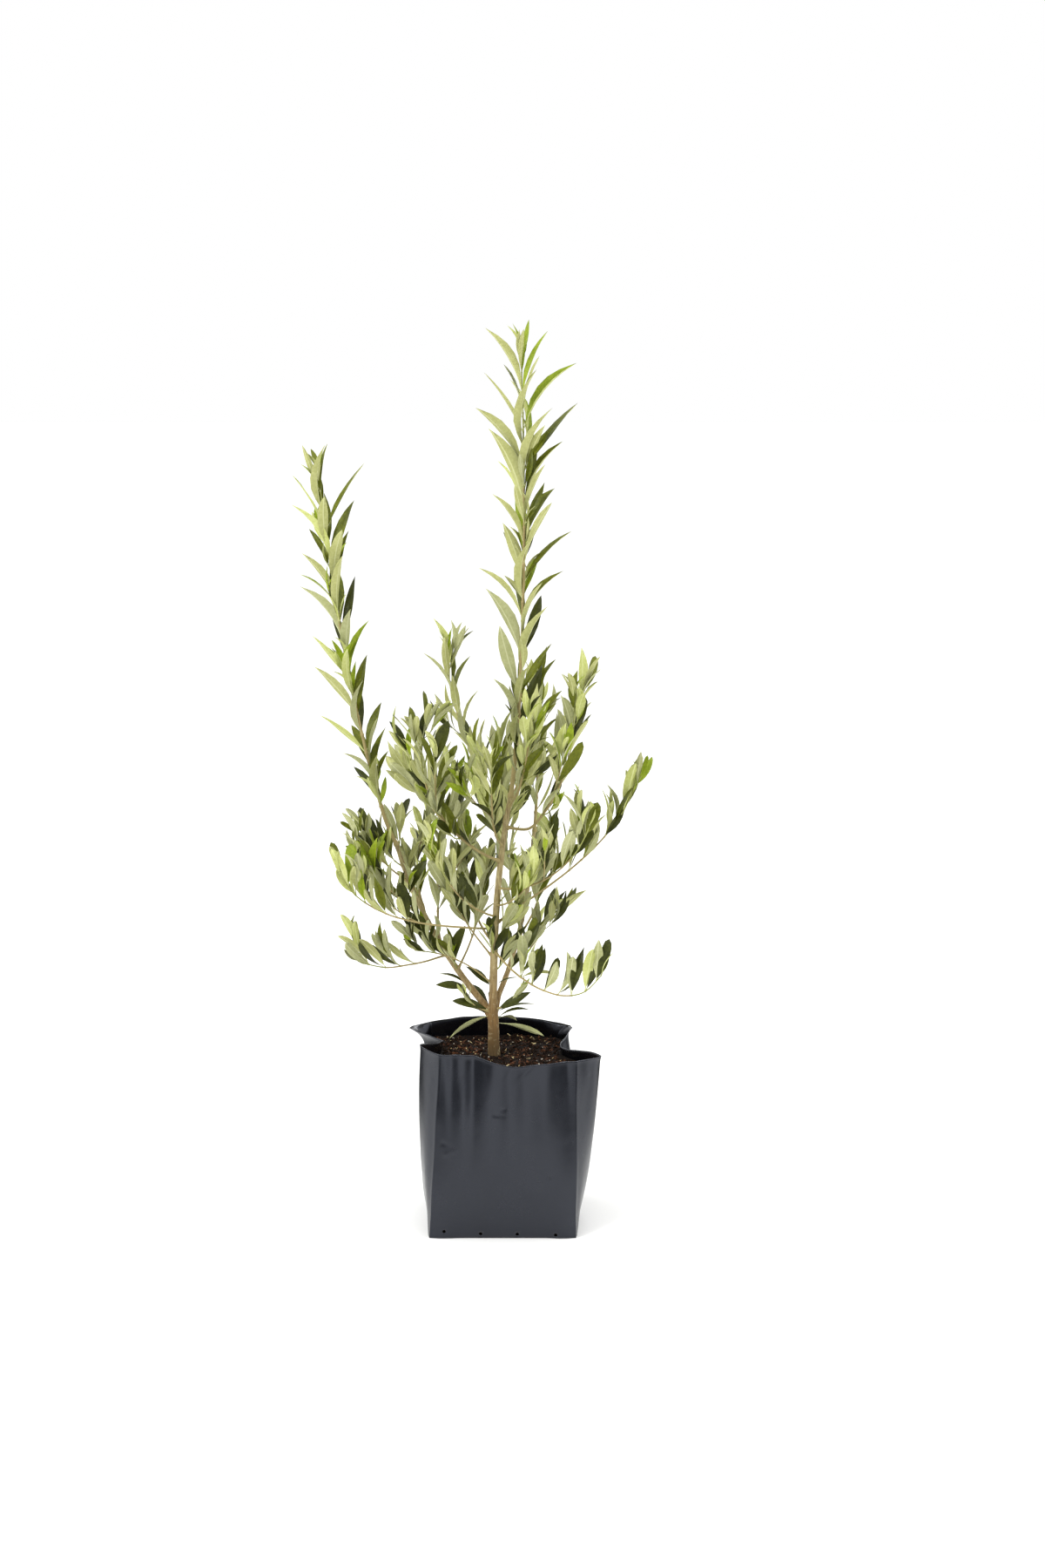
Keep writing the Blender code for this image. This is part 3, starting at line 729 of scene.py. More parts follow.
SHOOTS = (
    Shoot("leader_shoot", "leader", None, 434, Bearing(0, 0, 83, 9, 0.6), 21, (50, 66), 0.22, 39,
          phase=22, girth=2.4),
    Shoot("left_tall_shoot", "left_bough", None, 378, Bearing(176, 8, 66, 18, 0.4), 18, (45, 60),
          0.24, 36, phase=20, girth=2.1),
    Shoot("lower_right_shoot", "leader", 286, 146, Bearing(-56, 43, -24, 90, 3), 8, (38, 47), 0.31,
          48, perk=1.9, bare=0.12, girth=1.2),
    Shoot("lower_left_shoot", "left_bough", 278, 96, Bearing(-136, -30, -4, 30, 4), 4, (40, 44),
          0.28, 42, perk=0.3, bare=0.3, girth=1.1),
    Shoot("left_long_shoot", "leader", 309, 196, Bearing(-140, -30, 10, 60, 3.2), 9, (34, 38), 0.34,
          40, perk=1.2, bare=0.42, girth=1.2, twigs=1),
    Shoot("right_long_shoot", "leader", 314, 210, Bearing(40, -30, 24, 46, 2.2), 7, (38, 46), 0.30,
          38, perk=1.1, bare=0.42, girth=1.4),
    Shoot("right_middle_shoot", "leader", 352, 142, Bearing(-52, 32, 8, 60, 1.4), 8, (37, 44), 0.33,
          36, perk=1.0, bare=0.2, girth=1.2, twigs=1),
    Shoot("left_middle_shoot", "left_bough", 309, 112, Bearing(-128, -16, 38, 4), 6, (38, 43), 0.36,
          36, perk=0.6, bare=0.25, girth=1.2, twigs=1),
    Shoot("left_side_shoot", "left_bough", 352, 62, Bearing(-166, -10, 40, 20), 4, (38, 42), 0.28,
          34, bare=0.25, girth=1.0),
    Shoot("left_inner_shoot", "left_bough", 318, 142, Bearing(118, -96, 62, -10), 7, (38, 43), 0.33,
          36, bare=0.2, girth=1.4, twigs=1),
    Shoot("centre_left_shoot", "leader", 380, 180, Bearing(-139, -28, 26, 78, 1.4), 9, (42, 49),
          0.29, 34, bare=0.15, girth=1.6, twigs=2),
    Shoot("small_tall_shoot", "leader", 420, 182, Bearing(120, 30, 44, 42, 1.7), 8, (42, 58), 0.22,
          34, phase=50, bare=0.2, girth=1.4),
    Shoot("right_crown_shoot", "leader", 416, 166, Bearing(-26, 36, 2, 90, 0.45), 8, (40, 48), 0.30,
          30, bare=0.2, girth=1.6, twigs=2),
    Shoot("right_back_shoot", "right_back_bough", None, 128, Bearing(72, 10, 78, 8), 8, (42, 48),
          0.26, 34, phase=30, girth=1.8, twigs=1),
    Shoot("inner_left_shoot", "leader", 277, 92, Bearing(158, 14, 48, 16), 5, (36, 40), 0.33, 36,
          perk=0.3, bare=0.3, girth=1.0),
    Shoot("crossing_twig", "leader", 250, 84, Bearing(-166, 12, 40, -30, 1.2), 4, (34, 37), 0.30,
          36, perk=0.4, bare=0.4, girth=0.9),
    Shoot("left_low_shoot", "left_bough", 262, 104, Bearing(30, 20, 62, 16), 6, (36, 42), 0.30, 36,
          bare=0.25, girth=1.1),
    Shoot("right_low_twig", "right_back_bough", 262, 62, Bearing(-8, 20, 44, 20), 4, (42, 44), 0.26,
          38, phase=20, bare=0.3, girth=0.9),
    Shoot("foot_left_twig", "trunk", 219, 24, Bearing(-160, -14, 24, 30), 1, (34, 34), 0.25, 40,
          bare=0.1, girth=1.0),
    Shoot("foot_right_twig", "trunk", 222, 24, Bearing(-24, 8, 24, 30), 1, (34, 34), 0.25, 40,
          bare=0.1, girth=1.0),
    Shoot("front_left_shoot", "leader", 322, 134, Bearing(-112, -24, 18, 48, 1.6), 7, (36, 41),
          0.34, 36, perk=0.5, bare=0.25, girth=1.2),
    Shoot("front_right_shoot", "leader", 334, 112, Bearing(-72, 26, 14, 52, 1.5), 6, (36, 40), 0.34,
          36, perk=0.6, bare=0.3, girth=1.1),
    Shoot("front_middle_shoot", "leader", 396, 128, Bearing(-104, 20, 30, 46, 1.2), 7, (40, 46),
          0.29, 34, bare=0.15, girth=1.3, twigs=1),
    Shoot("front_high_shoot", "leader", 436, 112, Bearing(-62, -16, 44, 36), 7, (40, 47), 0.26, 32,
          bare=0.15, girth=1.3),
    Shoot("back_low_shoot", "leader", 292, 168, Bearing(112, -18, 16, 50, 1.5), 8, (38, 43), 0.33,
          36, perk=0.5, bare=0.25, girth=1.4, twigs=1),
    Shoot("back_left_shoot", "left_bough", 290, 140, Bearing(96, -14, 36, 36, 1.2), 7, (38, 44),
          0.30, 34, bare=0.2, girth=1.4, twigs=1),
    Shoot("back_middle_shoot", "leader", 366, 150, Bearing(84, 16, 34, 44, 1.2), 8, (40, 47), 0.29,
          32, bare=0.2, girth=1.5, twigs=1),
    Shoot("back_right_shoot", "right_back_bough", 292, 136, Bearing(64, 20, 26, 40, 1.6), 8,
          (38, 43), 0.33, 34, perk=0.5, bare=0.3, girth=1.3),
    Shoot("back_high_shoot", "leader", 442, 116, Bearing(60, 20, 46, 34), 6, (40, 49), 0.25, 32,
          bare=0.15, girth=1.3),
    Shoot("back_far_shoot", "right_back_bough", 330, 126, Bearing(112, -16, 24, 44, 1.5), 7,
          (38, 43), 0.33, 34, perk=0.4, bare=0.25, girth=1.2),
)


@dataclass(frozen=True)
class FootLeaf:
    """A leaf that springs straight from the wood round the fork. Angles are in degrees.

    roll turns its upper side from the sky round the leaf's own line.
    """
    limb: str
    height: float
    heading: float
    rise: float
    length: float
    breadth: float
    roll: float


FOOT_LEAVES = tuple(FootLeaf(*row) for row in (
    ("left_bough", 243, -170, 9, 36, 0.26, -55),
    ("left_bough", 247, 160, 14, 34, 0.17, -8),
    ("trunk", 221, -164, 18, 42, 0.25, -52),
    ("trunk", 219, -158, -25, 50, 0.15, 62),
    ("trunk", 214, 172, 20, 26, 0.13, -12),
    ("trunk", 221, -20, 30, 44, 0.26, 54),
    ("trunk", 220, 14, 7, 42, 0.15, 6),
    ("trunk", 213, -12, 17, 36, 0.15, 18),
    ("trunk", 210, -16, -12, 52, 0.14, -66),
    ("leader", 249, -8, 19, 26, 0.15, 10),
    ("leader", 246, 176, 38, 34, 0.28, -40),
    ("trunk", 217, 96, 16, 44, 0.24, 30),
    ("trunk", 212, 60, -14, 46, 0.18, -20),
    ("trunk", 222, 128, 28, 40, 0.25, -30),
))

SPUR = Shoot("spur", "leader", None, 24, Bearing(0, 0, 0, 0), 2, (38, 43), 0.31, 40, perk=0.15)


# --- Stems as meshes ---

@dataclass
class Lines:
    """Polylines that the stem tree turns to tubes: their points, radii and edges."""
    points: list[Vector] = field(default_factory=list)
    radii: list[float] = field(default_factory=list)
    edges: list[tuple[int, int]] = field(default_factory=list)

    def add(self, route: Route) -> None:
        """Adds one line.

        Args:
            route: The line, as pairs of a point and a radius.
        """
        first = len(self.points)
        self.points += [point for point, _ in route]
        self.radii += [radius for _, radius in route]
        self.edges += [(first + k, first + k + 1) for k in range(len(route) - 1)]

    def tubes(self, name: str, sides: int, skin: Material) -> Piece:
        """Makes the tubes by the stem tree.

        Args:
            name: The piece's name.
            sides: How many faces run round each tube.
            skin: Their material.

        Returns:
            The piece.
        """
        mesh = bpy.data.meshes.new(name)
        mesh.from_pydata(self.points, self.edges, [])
        mesh.attributes.new("girth", "FLOAT", "POINT").data.foreach_set("value", self.radii)
        return stem_tree().run(new_object(name, mesh), {"Sides": sides, "Skin": skin})


def stem_tree() -> GeometryTree:
    """The tree that draws a round tube with closed ends along every line.

    Returns:
        The tree.
    """
    stems = GeometryTree("tapering_stems", {"Sides": "NodeSocketInt", "Skin": "NodeSocketMaterial"})
    line = stems.add("GeometryNodeMeshToCurve", {"Mesh": stems.given["Geometry"]})
    outline = stems.add("GeometryNodeCurvePrimitiveCircle", {
        "Resolution": stems.given["Sides"], "Radius": 1.0})
    girth = stems.add("GeometryNodeInputNamedAttribute", {"Name": "girth"}, data_type="FLOAT")
    tube = stems.add("GeometryNodeCurveToMesh", {
        "Curve": line.outputs[0], "Profile Curve": outline.outputs["Curve"],
        "Scale": girth.outputs[0], "Fill Caps": True})
    smooth = stems.add("GeometryNodeSetShadeSmooth", {"Geometry": tube.outputs[0]})
    stems.finish(smooth.outputs[0], {"Skin": True})
    return stems


def hull(corners: Sequence[Vector]) -> Shape:
    """The closed convex solid round some points.

    Args:
        corners: The points.

    Returns:
        The solid.
    """
    shape = bmesh.new()
    for corner in corners:
        shape.verts.new(corner)
    bmesh.ops.convex_hull(shape, input=shape.verts[:])
    inner = [vert for vert in shape.verts if not vert.link_faces]
    bmesh.ops.delete(shape, geom=inner, context="VERTS")
    bmesh.ops.recalc_face_normals(shape, faces=shape.faces[:])
    return shape


def search_tree(corners: Sequence[Vector]) -> BVHTree:
    """A search tree over the convex solid round some points.

    Args:
        corners: The points.

    Returns:
        The tree.
    """
    shape = hull(corners)
    found = BVHTree.FromBMesh(shape)
    shape.free()
    return found


def ring_round(station: Station, radius: float) -> Ring:
    """Four points round a station.

    Args:
        station: The station.
        radius: How far they lie from it.

    Returns:
        The points.
    """
    lifted = station.along.cross(station.level)
    return [station.point + side * radius
            for side in (station.level, lifted, -station.level, -lifted)]


def ball_round(points: Sequence[Vector]) -> tuple[Vector, float]:
    """The centre and radius of a ball that holds the points."""
    centre = sum(points, Vector()) / len(points)
    return centre, max((point - centre).length for point in points)


class Room:
    """What has already grown, each bit under its owner's name, so that nothing new meets it."""

    def __init__(self) -> None:
        """Starts empty."""
        self.held: list[tuple[str, BVHTree, Vector, float]] = []

    def add(self, owner: str, corners: Sequence[Vector]) -> None:
        """Notes the convex solid round some points."""
        self.held.append((owner, search_tree(corners), *ball_round(corners)))

    def add_stem(self, owner: str, stations: Sequence[Station]) -> None:
        """Notes a stem, piece by piece.

        Args:
            owner: The stem's name.
            stations: Its stations.
        """
        rings = [ring_round(station, station.radius) for station in stations]
        for low, high in zip(rings, rings[1:]):
            self.add(owner, low + high)

    def touches(self, corners: Sequence[Vector], skipped: Sequence[str]) -> bool:
        """Tells whether the convex solid round some points meets anything.

        Args:
            corners: The solid's corners.
            skipped: The owners that it may meet.

        Returns:
            Whether it meets any other.
        """
        centre, reach = ball_round(corners)
        near = [tree for owner, tree, middle, radius in self.held
                if owner not in skipped and (middle - centre).length < radius + reach]
        if not near:
            return False
        trial = search_tree(corners)
        return any(tree.overlap(trial) for tree in near)


# --- Bark of the stem and boughs ---

@dataclass
class BarkedStem:
    """The short stem, its fork and the three bare boughs, as one skin of bark."""
    fork_share: float = 0.72     # how far up the trunk its boughs part
    flare: float = 1.10          # swelling at the soil, over the trunk's own radius
    slim: float = 0.92           # the trunk's radius, over its solid's
    flare_height: float = 9.0
    sink: float = 5.0            # how far the foot of the trunk goes on into the soil
    inner: Pair = (1.3, 1.16)    # a bough's width in the fork, and half way out of it
    inner_share: float = 0.55
    voxel: float = 0.62
    sides: int = 14
    step: float = 4.0
    settle_rounds: int = 5       # of smoothing, which rounds the crotches
    streak: float = 0.16         # depth of the streaks that run up the bark
    streak_width: float = 2.6
    streak_length: float = 22.0
    finer: Pair = (0.5, 2.3)     # depth and number of finer streaks, over those
    lump: float = 0.28           # depth of the slow unevenness
    lump_size: float = 13.0
    joint: float = 21.0          # between the old leaf joints
    joint_swell: float = 0.30
    joint_height: float = 1.6    # half the height of each swelling

    def routes(self) -> list[Route]:
        """Draws lines for the trunk, and for each bough from the fork on.

        Returns:
            The lines, as pairs of a point and a radius in metres.
        """
        trunk = TRUNK.grown(self.step)
        stem = [(trunk[0].point - UP * self.sink * MM, trunk[0].radius * self.flare * self.slim)]
        for station in trunk:
            above = (station.point - trunk[0].point).z / MM
            swell = 1 + (self.flare - 1) * max(0.0, 1 - above / self.flare_height)
            stem.append((station.point, station.radius * swell * self.slim))
        fork = station_at(trunk, self.fork_share)
        found = [stem[:2 + round(self.fork_share * (len(trunk) - 1))]]
        for limb in LIMBS:
            stations = limb.grown(self.step)
            first = stations[0]
            middle = fork.point.lerp(first.point, self.inner_share)
            route = [(point, first.radius * width)
                     for point, width in zip((fork.point, middle), self.inner)]
            for k, station in enumerate(stations):
                offset = (k * self.step + self.joint / 2) % self.joint - self.joint / 2
                swell = self.joint_swell * math.exp(-(offset / self.joint_height) ** 2)
                route.append((station.point, station.radius + swell * MM))
            found.append(route)
        return found

    def relief(self, mesh: Mesh) -> None:
        """Moves the bark's vertices in and out: streaks that run up it, and slow lumps.

        Args:
            mesh: The bark, which is changed.
        """
        ways = [vert.normal.copy() for vert in mesh.vertices]
        for vert, way in zip(mesh.vertices, ways):
            place = vert.co / MM
            tall = Vector((place.x / self.streak_width, place.y / self.streak_width,
                           place.z / self.streak_length))
            streaks = noise.noise(tall) + self.finer[0] * noise.noise(tall * self.finer[1])
            lumps = noise.noise(place / self.lump_size)
            vert.co += way * (streaks * self.streak + lumps * self.lump) * MM

    def build(self) -> Piece:
        """Builds the bark as one closed mesh.

        Returns:
            The piece.
        """
        lines = Lines()
        for route in self.routes():
            lines.add(route)
        bark = lines.tubes("olive_bark", self.sides, OliveBark().make())
        skin = bark.modifiers.new("one_skin", "REMESH")
        skin.mode = "VOXEL"
        skin.voxel_size = self.voxel * MM
        skin.use_smooth_shade = True
        ease = bark.modifiers.new("ease", "SMOOTH")
        ease.factor = 0.5
        ease.iterations = self.settle_rounds
        settle(bark)
        self.relief(bark.data)
        return bark


# --- Crown ---

@dataclass(frozen=True)
class Blade:
    """One way a leaf blade grows. It is a unit long along +Y and wide along X, its upper side +Z.

    widest is the share of its length at the widest place, and blunt fills out its tip. arch lifts
    its middle, sickle bends it sideways, both over its length, and fold is in degrees.
    """
    widest: float
    blunt: float
    fold: float
    arch: float
    sickle: float
    twist: float

    ROWS = (0.0, 0.085, 0.19, 0.34, 0.50, 0.66, 0.81, 0.925)
    STALK_ROWS = 2               # the first rows are the leaf's stalk
    STALK_WIDTH = 0.10           # over the blade's width
    RIB = 0.045                  # half the rib's width, over the blade's
    RIB_FIT = 0.7                # the most of the blade's half that the rib takes
    VEIN = 0.55                  # where its upper side bends, over its half width
    THICK = 0.0075               # at the rib, over the length
    THINS = 0.4                  # the share of its length from where it gets thinner
    RIB_RISE = 0.004             # how far the rib stands out of the underside
    NOMINAL = 0.28               # width over length, for the fold
    ROLL_UNDER = 0.030           # how far the margins roll down

    def half_width(self, share: float) -> float:
        """Half the blade's width at a share of its length.

        Args:
            share: The share.

        Returns:
            Half the width, 0.5 at the widest place.
        """
        first = self.ROWS[self.STALK_ROWS - 1]
        t = (share - first) / (1 - first)
        if t <= 0:
            return self.STALK_WIDTH / 2
        peak = (self.widest - first) / (1 - first)
        rise, fall = self.blunt * peak / (1 - peak), self.blunt
        top = peak ** rise * (1 - peak) ** fall
        return max(0.5 * t ** rise * (1 - t) ** fall / top, self.STALK_WIDTH / 2)

    def bent(self, across: float, share: float, lift: float) -> Vector:
        """A point of the bent blade.

        Args:
            across: Sideways place, over the blade's width, in straight measure.
            share: Place along it.
            lift: Height over the blade's middle surface.

        Returns:
            The point.
        """
        edge = min(abs(across) * 2, 1.0)
        rise = abs(across) * self.NOMINAL * math.tan(math.radians(self.fold))
        rise -= self.ROLL_UNDER * edge ** 4 * self.NOMINAL
        turn = math.radians(self.twist) * (share - 0.5)
        side, up = across, rise + lift
        turned = side - up * turn / self.NOMINAL, up + side * turn * self.NOMINAL
        bow = 4 * share * (1 - share)
        return Vector((turned[0] + self.sickle / self.NOMINAL * bow, share,
                       turned[1] + self.arch * bow))

    def make(self, name: str) -> Piece:
        """Builds the blade as a closed lens, its faces marked as upper side, underside or rib.

        Args:
            name: The object's name.

        Returns:
            The blade.
        """
        shape = bmesh.new()
        mark = shape.faces.layers.int.new("side")
        over, under = [], []
        for share in self.ROWS:
            half = self.half_width(share)
            rib = min(self.RIB, half * self.RIB_FIT)
            rise = self.THICK * (0.5 + 0.5 * min(1.0, 1 + self.THINS - share)) / 2
            upper = [shape.verts.new(self.bent(x, share, z)) for x, z in (
                (-half, 0.0), (-half * self.VEIN, rise), (0.0, rise), (half * self.VEIN, rise),
                (half, 0.0))]
            lower = [shape.verts.new(self.bent(x, share, -rise - self.RIB_RISE))
                     for x in (-rib, rib)]
            over.append(upper)
            under.append([upper[0], *lower, upper[-1]])
        tip = shape.verts.new(self.bent(0.0, 1.0, 0.0))
        for rows, flip in ((over, False), (under, True)):
            for k, (low, high) in enumerate(zip(rows, [*rows[1:], None])):
                for c in range(len(low) - 1):
                    corners = [low[c], low[c + 1]]
                    corners += [tip] if high is None else [high[c + 1], high[c]]
                    face = shape.faces.new(corners[::-1] if flip else corners)
                    rib = (flip and c == 1) or k < self.STALK_ROWS - 1
                    face[mark] = Side.RIB.value if rib else (Side.UNDER if flip else Side.UPPER).value
                    face.smooth = True
        shape.faces.new([over[0][c] for c in range(len(over[0]) - 1, -1, -1)] + under[0][1:3])
        for row, after in zip(over, over[1:]):
            for c in (0, 2, -1):
                edge = shape.edges.get((row[c], after[c]))
                if edge:
                    edge.smooth = False
        return object_from(name, shape)


class Side(Enum):
    """Which part of a leaf a face belongs to."""
    UPPER = 0
    UNDER = 1
    RIB = 2


BLADES = (
    Blade(widest=0.54, blunt=1.05, fold=14, arch=0.080, sickle=0.018, twist=16),
    Blade(widest=0.51, blunt=1.22, fold=22, arch=0.105, sickle=-0.030, twist=-22),
    Blade(widest=0.57, blunt=0.94, fold=10, arch=0.050, sickle=0.040, twist=26),
    Blade(widest=0.49, blunt=1.30, fold=26, arch=0.120, sickle=-0.014, twist=-12),
    Blade(widest=0.64, blunt=0.50, fold=10, arch=0.045, sickle=0.016, twist=18),
    Blade(widest=0.60, blunt=0.62, fold=16, arch=0.075, sickle=-0.026, twist=-24),
    Blade(widest=0.67, blunt=0.44, fold=7, arch=0.020, sickle=0.030, twist=10),
    Blade(widest=0.58, blunt=0.72, fold=20, arch=0.095, sickle=-0.034, twist=-16),
)
POINTED = range(0, 4)            # places in BLADES of the long pointed kinds
ROUNDED = range(4, 8)            # and of the blunt ones


@dataclass
class Leaf:
    """One leaf where it grows, in metres."""
    root: Vector
    along: Vector
    face: Vector
    length: float
    width: float
    blade: int
    tint: Tint


class Order(IntEnum):
    """What kind of branch it is."""
    STEM = 0
    SIDE = 1
    FINE = 2
    END = 3
    SPUR = 4


@dataclass
class Branch:
    """A leafy stem, side twig or fine twig, with what its leaves are dealt out by."""
    name: str
    shoot: Shoot
    stations: list[Station]
    pairs: int
    bare: float
    order: Order
    foot: Vector                 # where its skin starts, inside what it grows on
    nodes: list[float] = field(default_factory=list)


def leaf_corners(leaf: Leaf, stem_way: Vector, grown: float = 0.0, start: float = 0.0) -> Ring:
    """The corners of the plain leaf that stands for a blade when room is looked for.

    Args:
        leaf: The leaf.
        stem_way: Its stem's direction.
        grown: How much wider it is taken all round, in metres.
        start: The share next to the stem that is cut off.

    Returns:
        Its corners: two at the root, two at the widest place, and the tip.
    """
    across = leaf.along.cross(leaf.face).normalized()
    edge = (stem_way + leaf.face * Growth.ROOT_TILT).normalized() * Growth.LEAF_ROOT * MM * (1 - start)
    foot = leaf.root + leaf.along * (leaf.length * start - grown)
    shoulder = leaf.root + leaf.along * leaf.length * Growth.LEAF_SHOULDER
    half = leaf.width / 2 * Growth.LEAF_FULLNESS + grown
    corners = [foot + edge, foot - edge, shoulder + across * half, shoulder - across * half,
               leaf.root + leaf.along * (leaf.length + grown)]
    return [corner + leaf.face * side for corner in corners for side in (grown, -grown)]


class Growth:
    """The growing rule's own sizes, as the solids have them."""
    STEM_STEP = 24.0
    TIP_RADIUS = 0.6
    LIMB_STEP = 16.0
    TRUNK_STEP = 5.0
    FACET_GROWTH = 1.4           # a three-sided stem is this much wider, for a round one's section
    FOOT_GAP = 0.36
    TWIG_ZONE = (0.30, 0.64)
    TWIG_LENGTHS = (0.34, 0.44)
    TWIG_GIRTH = 0.7
    TWIG_SPREAD = 48
    TWIG_SWING = 12
    TWIG_PULL = 0.25
    TWIG_RISE = 0.4
    UPRIGHT = 80
    TWIG_PAIRS = 3
    TWIG_BARE = 0.25
    TWIG_CLEAR = 0.6
    PAIR_TURN = 90
    PAIR_PLACE = 0.6
    PAIR_SHIFT = 0.45
    LEAF_LENGTHS = (0.88, 1.08)
    LEAF_SPLAYS = (0.85, 1.15)
    LEAF_SWING = 16
    LEAF_ROLLS = (12, 38)
    LEAF_TRIES = (0, 18, -18, 36, -36)
    END_LENGTH = 0.86
    END_SPLAY = 0.6
    LEAF_SINK = 0.3
    LEAF_ROOT = 0.9
    ROOT_TILT = 0.8
    LEAF_SHOULDER = 0.42
    LEAF_FULLNESS = 1.15
    LEAF_CLEAR = 0.4
    LEAF_FREE = 0.22
    EDGE_ON = 0.2


class Ageing:
    """What sets how old a leaf is. Heights are over the tree's, and places over the stem's length."""
    OLD = 1.15                   # share of mature leaves at the floor, which falls with height
    LESS_OLD_TIP = 0.25          # how much less at a stem's tip
    FRESH = 0.03                 # share of fresh ones
    FRESH_TIP = 0.16             # more at a stem's tip, from TIP on
    TIP = 0.7
    FRESH_FINE = 0.08            # more on fine twigs
    FRESH_PLUME = 0.7            # more with the height over PLUME
    PLUME = 0.6
    FRESH_RISE = 2.2             # less low in the tree, by this times the height
    FLUSH = 0.22                 # share of sprays whose outer leaves are mostly fresh
    FLUSH_OUT = 0.4              # place where those leaves start
    FLUSH_FROM = 0.38            # height where those sprays start
    FLUSHED = 0.7                # share of fresh leaves in them


def leaf_stance(place: Station, turn: float, splay: float, perk: float,
                roll: float) -> tuple[Vector, Vector]:
    """Which way a leaf points and which way its upper side faces.

    Args:
        place: Where it grows.
        turn: Its angle round the stem, in radians.
        splay: Its angle to the stem, in radians.
        perk: Its pull towards the sky.
        roll: How far the blade is turned on its own line, in radians.

    Returns:
        Its direction and its upper side's.
    """
    radial = place.level * math.cos(turn) + place.along.cross(place.level) * math.sin(turn)
    if perk and radial.z < 0:
        radial.z = -radial.z
    along = place.along * math.cos(splay) + radial * math.sin(splay)
    along = (along + UP * perk).normalized()
    face = along * radial.dot(along) - radial
    if face.length < Growth.EDGE_ON:
        face = place.along - along * place.along.dot(along)
    face.normalize()
    return along, face * math.cos(roll) + along.cross(face) * math.sin(roll)


@dataclass
class Crown:
    """Every leafy shoot: stems, side twigs, fine twigs and their leaves."""
    fine_length: Pair = (13.0, 30.0)
    fine_girth: float = 0.62     # over the radius of what it grows on
    fine_tip: float = 0.35
    fine_spread: float = 40.0
    fine_stray: float = 20.0     # how far round the stem it may stray from its joint
    fine_swing: float = 14.0     # and turn by its tip
    fine_perk: float = 0.4       # over the pull on the shoot's leaves
    fine_bare: float = 0.35
    fine_pairs: tuple[int, int] = (2, 3)
    fine_leaf: Pair = (0.64, 1.0)  # over the shoot's own leaves
    fine_chance: float = 0.32
    arching_chance: float = 0.24  # the same on the shoots whose leaves all stand up
    bud_length: float = 5.0      # of the stub that carries small leaves on the tall shoots
    bud_chance: float = 0.45
    bud_pairs: tuple[int, int] = (1, 2)
    bud_leaf: Pair = (0.26, 0.74)
    bud_spread: float = 24.0
    end_length: float = 7.0      # of the bud that ends every stem
    end_pairs: int = 2
    end_bare: float = 0.1
    end_leaf: Pair = (0.44, 0.70)
    plume_leaf: Pair = (0.50, 0.72)  # the same on the tall shoots
    hug: float = 0.80            # splay of the tall shoots' leaves, over the source's
    tall: float = 300.0          # a shoot longer than this only bears buds in its leaf joints
    upright: float = 0.28        # pull of the crown's leaves to the sky, with the shoot's own
    perks: Pair = (0.0, 1.35)    # over that pull
    turned: float = 0.34         # share of outer leaves that twist their pale side out
    turned_side: float = 40.0    # they grow to the left of this place
    splays: Pair = (0.78, 1.22)  # over the shoot's splay
    lengths: Pair = (0.92, 1.20)  # over the source's lengths
    stretch: float = 1.24        # more, for the leaves of the tall shoots
    slender: float = 0.80        # share of those where their leaves start to get smaller
    tip_length: float = 0.94     # their length at the tip, over the source's
    tip_breadth: float = 0.72
    breadths: Pair = (0.68, 0.96)
    pointed: float = 0.46        # share of pointed leaves among the broad ones
    narrow: float = 0.27         # a shoot with narrower leaves has only pointed ones
    more_tries: tuple[int, int] = (54, -54)  # turns round the stem that a leaf may also try
    spur_step: float = 17.0      # between the joints of the boughs that bear leafy spurs
    spur_zone: Pair = (250.0, 440.0)  # heights where they do
    spur_chance: float = 0.42
    spur_length: Pair = (12.0, 36.0)
    spur_spread: float = 44.0
    spur_stray: float = 35.0
    spur_girth: float = 0.9
    spur_bare: float = 0.3
    spray_name: int = 16         # letters of a twig's name that its whole spray shares
    roll: float = 24.0           # degrees that a blade may roll off the source's
    swing: float = 20.0          # and how far round the stem its root strays
    foot_root: float = 0.75      # where the foot leaves start, over the wood's radius
    young: float = 0.72          # share of a stem where its skin turns from wood to green
    skin_step: float = 3.0
    slim: float = 0.88           # width of the pointed leaves, over the source's
    node_swell: float = 0.34     # over the stem's radius, at each leaf joint
    node_height: float = 1.5
    node_fall: float = 1.6       # how steeply that swelling ends
    collar: float = 0.5          # the same at the foot
    collar_height: float = 2.6
    sway: float = 0.35           # how far a stem wanders to either side
    sway_length: float = 26.0
    sway_apart: float = 50.0     # tells stems that start at different heights apart
    sway_seed: int = 3           # without one, the sway would follow the clock
    sides: tuple[int, int] = (9, 6)  # faces round a woody stem and a fine twig
    branches: list[Branch] = field(default_factory=list)
    leaves: list[Leaf] = field(default_factory=list)
    room: Room = field(default_factory=Room)
    limbs: dict[str, list[Station]] = field(default_factory=lambda: {
        "trunk": TRUNK.grown(Growth.TRUNK_STEP),
        **{limb.name: limb.grown(Growth.LIMB_STEP) for limb in LIMBS}})

    def start_of(self, shoot: Shoot) -> tuple[Vector, Vector]:
        """Finds where a stem starts, clear of its parent's bark.

        Args:
            shoot: The shoot.

        Returns:
            Its foot, and the point inside its parent where its skin starts.
        """
        stations = self.limbs[shoot.parent]
        share = 1.0 if shoot.springs is None else share_at_height(stations, shoot.springs * MM)
        way = shoot.bearing.at(0.0)
        place = station_at(stations, share)
        if share >= 1.0:
            return place.point + way * Growth.FOOT_GAP * MM, place.point - way * place.radius
        lean = way.dot(place.along)
        slope = (way - place.along * lean).length
        reach = place.radius / slope + abs(lean) / slope * shoot.girth * MM * Growth.FACET_GROWTH
        return place.point + way * (reach + Growth.FOOT_GAP * MM), place.point

